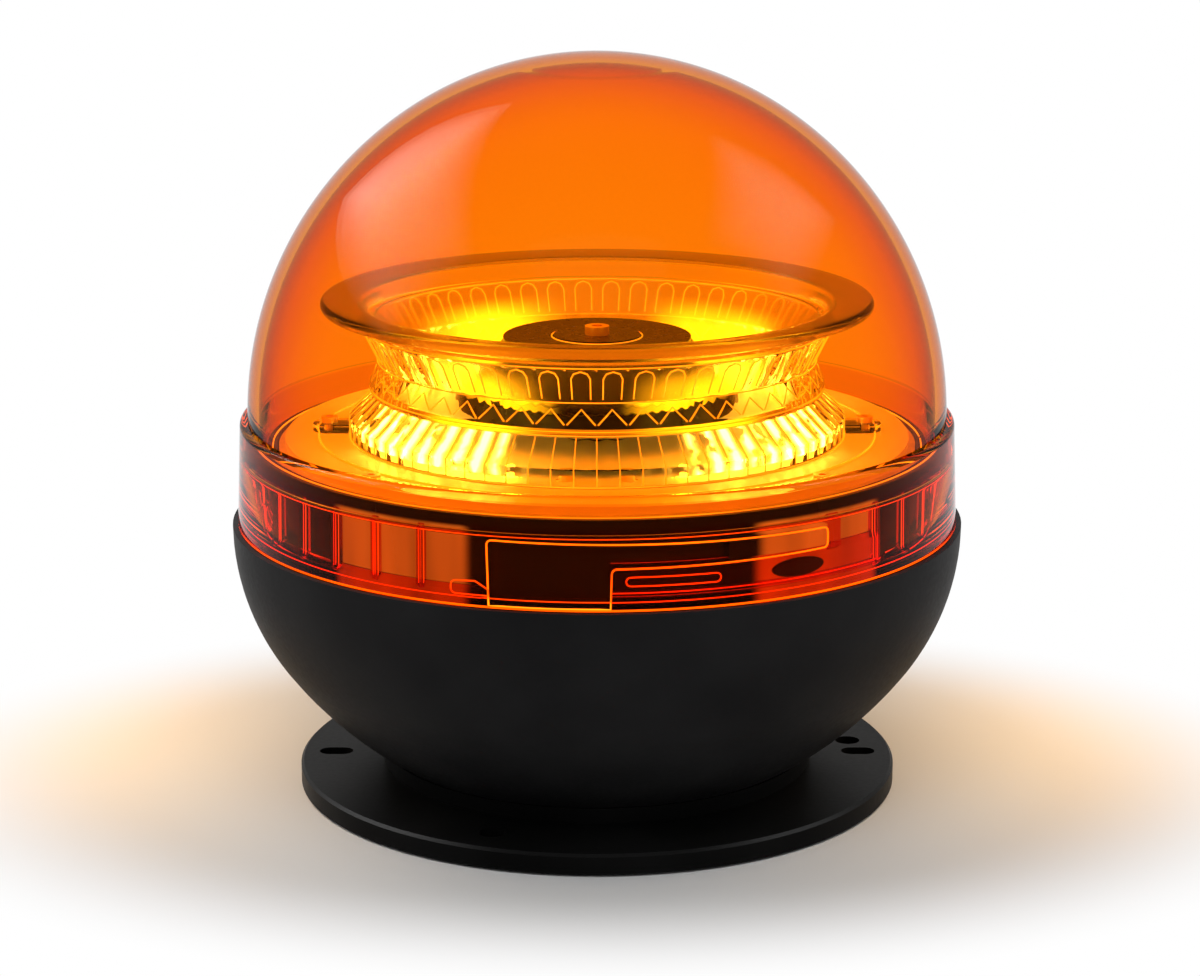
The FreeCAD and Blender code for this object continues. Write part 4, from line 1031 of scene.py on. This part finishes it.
def tooth_glow_lines():
    """Painted glow outlines: one round-headed tooth after another, and a row of arrowheads below them."""
    pitch = 360 / OPTIC_TEETH
    light = [optic_edge]
    edges = []
    for k in range(OPTIC_TEETH):
        middle = (k + 0.5) * pitch
        tooth = tooth_outline(middle, pitch * TOOTH_HALF)
        arrow = arrowhead(middle, pitch * ARROW_HALF)
        edges.append(bead(f"tooth_edge_{k}", tooth, TOOTH_LINE, light))
        edges.append(bead(f"arrow_{k}", arrow, ARROW_LINE, light))
    for name, radius, z in (
        ("row_foot_ring", 46.9, 93.2),
        ("row_head_ring", 50.3, 100.9),
        ("skirt_ring", 48.1, 87.5),
    ):
        ring = circle_path(radius, z, OPTIC_CIRCLE_STEPS)
        edges.append(bead(name, ring, OPTIC_LINE, light, closed=True))
    return joined("funnel_glow_lines", edges)


def funnel_optic():
    """The turning clear optic: brim, dish, tooth row and foot."""
    profile = rounded([
        (26.9, 86.4),
        (31.8, 86.4, 0.6),
        (48.2, 101.4, 0.3),
        (48.2, 100.0),
        (44.3, 93.1),
        (44.3, 87.2),
        (48.05, 87.2, 0.25),
        (48.05, 88.6, 0.5),
        (46.5, 93.1),
        ROW_FOOT,
        ROW_BEND,
        (48.9, 98),
        ROW_HEAD,
        (50.4, 100.8),
        (50.4, 104.8, 0.8),
        (58.3, 104.8, 0.5),
        (58.3, 106, 0.5),
        (50.2, 106, 1.2),
        (44, 100.5),
        (38, 94.8),
        (33.4, 90.4),
        (31.2, 88.6, 0.6),
        (26.9, 88.6),
    ], 4)

    def tooth(k, r, z, angle):
        if r < 46 or not 93.2 < z < 100.7:
            return r, z
        return r - TOOTH_DEPTH * zigzag(angle, OPTIC_TEETH), z

    def part_of(k, angle):
        r, z = profile[k]
        if r > BRIM_START and z > 104:
            return 1
        if k > len(profile) // 2 and r < BRIM_START:
            return 2
        return 0

    skins = [optic_clear, brim_clear, dish_clear]
    return lathe("funnel_optic_dressed", profile, skins, tooth, OPTIC_TEETH * 6, pick=part_of, crease=24)


# ---------------------------------------------------------------- stage

FLOOR_LEVEL = -0.5
FLOOR_HALF = 4000
FLOOR_TONES = [(0.3, (0.615, 0.615, 0.615)), (0.7, (0.625, 0.625, 0.625))]
SHADOW_STRETCH = (1, 1.35, 1)
SHADOW_END = 0.10
WHITE_START = 0.165
ROOM_LIGHT = 0.45


def beyond_shadow(nodes, links):
    """0 near the object, where its shadow falls, and 1 further out."""
    where = nodes.new("ShaderNodeTexCoord")
    oval = nodes.new("ShaderNodeMapping")
    oval.inputs["Scale"].default_value = SHADOW_STRETCH
    links.new(where.outputs["Object"], oval.inputs["Vector"])
    reach = nodes.new("ShaderNodeVectorMath")
    reach.operation = "LENGTH"
    links.new(oval.outputs["Vector"], reach.inputs[0])
    return fade(nodes, links, reach.outputs["Value"], SHADOW_END, WHITE_START)


def floor_skin():
    """Pale and matt. Beyond the object's shadow, what the camera sees of it fades to white."""
    made, nodes, links = material("pale_floor")
    body = shader(nodes, (0.62, 0.62, 0.62), 0.6, Specular_IOR_Level=0.1)
    faint = noise(nodes, links, 3, 2)
    tone = ramp(nodes, links, faint.outputs["Fac"], FLOOR_TONES)
    links.new(tone.outputs["Color"], body.inputs["Base Color"])
    white = nodes.new("ShaderNodeEmission")
    white.inputs["Color"].default_value = (1, 1, 1, 1)
    share = product(nodes, links, beyond_shadow(nodes, links), seen_as_backdrop(nodes, links))
    mix = nodes.new("ShaderNodeMixShader")
    links.new(share, mix.inputs["Fac"])
    links.new(body.outputs["BSDF"], mix.inputs[1])
    links.new(white.outputs["Emission"], mix.inputs[2])
    output(nodes, links, mix.outputs["Shader"])
    return made


def stage_floor():
    near, far = -FLOOR_HALF, FLOOR_HALF
    corners = [(x, y, FLOOR_LEVEL) for x, y in ((near, near), (far, near), (far, far), (near, far))]
    floor = mesh_object("stage_floor", corners, [[0, 1, 2, 3]], [floor_skin()])


def seen_as_backdrop(nodes, links):
    """1 for what is seen directly, in a reflection or through something clear."""
    path = nodes.new("ShaderNodeLightPath")
    total = path.outputs["Is Camera Ray"]
    for ray in ("Is Glossy Ray", "Is Transmission Ray"):
        step = nodes.new("ShaderNodeMath")
        step.operation = "ADD"
        step.use_clamp = True
        links.new(total, step.inputs[0])
        links.new(path.outputs[ray], step.inputs[1])
        total = step.outputs["Value"]
    return total


def background():
    """White where it is seen, and a plain room's light for everything else."""
    world = bpy.data.worlds.new("studio")
    bpy.context.scene.world = world
    world.use_nodes = True
    nodes = world.node_tree.nodes
    links = world.node_tree.links
    nodes.clear()
    white = node(nodes, "ShaderNodeBackground", Strength=1.0)
    white.inputs["Color"].default_value = (1, 1, 1, 1)
    room = node(nodes, "ShaderNodeBackground", Strength=ROOM_LIGHT)
    room.inputs["Color"].default_value = (1, 1, 1, 1)
    mix = nodes.new("ShaderNodeMixShader")
    links.new(seen_as_backdrop(nodes, links), mix.inputs["Fac"])
    links.new(room.outputs["Background"], mix.inputs[1])
    links.new(white.outputs["Background"], mix.inputs[2])
    end = nodes.new("ShaderNodeOutputWorld")
    links.new(mix.outputs["Shader"], end.inputs["Surface"])


LAMP_AIM = (0, 0, 0.12)
SOFT_STEPS = 8
SOFT_SHRINK = 0.09
SHEEN_DISTANCE = 1.15
SHEEN_SPACING = 0.01
GLOW_SIZE = (0.05, 0.14)
GLOW_ENERGY = 0.056
GLOW_COLOUR = (1.0, 0.48, 0.0)
GLOW_PLACE = (0.115, 0.03, 0.06)


def softbox(name, azimuth, elevation, distance, wide, tall, radiance):
    """An area lamp at an azimuth and elevation from the beacon, turned to face it."""
    lamp = bpy.data.lights.new(name, "AREA")
    lamp.shape = "RECTANGLE"
    lamp.size = wide
    lamp.size_y = tall
    lamp.energy = radiance * math.pi * wide * tall
    made = bpy.data.objects.new(name, lamp)
    bpy.context.collection.objects.link(made)
    turn = math.radians(azimuth)
    climb = math.radians(elevation)
    away = Vector((math.cos(climb) * math.cos(turn), math.cos(climb) * math.sin(turn), math.sin(climb)))
    made.location = Vector(LAMP_AIM) + away * distance
    made.rotation_euler = (-away).to_track_quat("-Z", "Y").to_euler()
    return made


def sheen(name, azimuth, elevation, wide, tall, radiance):
    """Nested lamps that show only as a soft-edged reflection."""
    each = radiance / SOFT_STEPS
    for step in range(SOFT_STEPS):
        share = 1 - step * SOFT_SHRINK
        away = SHEEN_DISTANCE + SHEEN_SPACING * step
        part = softbox(f"{name}_{step}", azimuth, elevation, away, wide * share, tall * share, each)
        part.visible_diffuse = False
        part.visible_transmission = False


def glow_lamp(name, side):
    """A small amber lamp close to the floor, beside the flange."""
    lamp = bpy.data.lights.new(name, "AREA")
    lamp.shape = "ELLIPSE"
    lamp.size, lamp.size_y = GLOW_SIZE
    lamp.energy = GLOW_ENERGY
    lamp.color = GLOW_COLOUR
    made = bpy.data.objects.new(name, lamp)
    bpy.context.collection.objects.link(made)
    across, back, up = GLOW_PLACE
    made.location = (side * across, back, up)
    made.visible_glossy = False
    made.visible_transmission = False
    made.visible_camera = False


def lamps():
    softbox("softbox_left", 162, 40, 1.1, 1.1, 0.55, 2.1)
    softbox("softbox_right", 8, 45, 1.1, 0.6, 0.45, 2.1)
    softbox("softbox_front", 270, 52, 1.1, 0.8, 0.5, 3.0)
    sheen("sheen_left", 162, 40, 1.45, 0.8, 30)
    sheen("sheen_right", 8, 45, 0.95, 0.65, 22)
    glow_lamp("glow_left", -1)
    glow_lamp("glow_right", 1)


def camera():
    lens = bpy.data.cameras.new("camera")
    lens.sensor_width = 36
    lens.lens = 95.8
    made = bpy.data.objects.new("camera", lens)
    bpy.context.collection.objects.link(made)
    made.location = (0.00063, -0.6696, 0.2315)
    made.rotation_euler = (math.radians(75.96), 0, 0)
    bpy.context.scene.camera = made


# ---------------------------------------------------------------- assembly

def dress():
    finish_cad()
    shell = lens_shell()
    for piece in (shell, *lens_band()):
        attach(piece, "lens")
        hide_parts("dome_lens")
    # Painted highlight rings on the deck and on the hub.
    for line, body in (
        (ring_beads("deck_glow_lines", [(59.6, DECK_TOP + 0.1, 0.22), (69.6, DECK_TOP - 1.5, 0.16)]), "base"),
        (ring_beads("hub_glow_lines", [(9.7, 97.65, 0.14), (19.9, 97.4, 0.10)]), "rotor"),
    ):
        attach(line, body)
    for ring in (prism_ring(), prism_glow_lines()):
        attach(ring, "base")
        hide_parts("prism_ring")
    for optic in (funnel_optic(), tooth_glow_lines()):
        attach(optic, "rotor")
        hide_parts("funnel_optic")


def view_settings():
    bpy.context.scene.view_settings.view_transform = "Standard"


dress()
stage_floor()
background()
lamps()
camera()
view_settings()
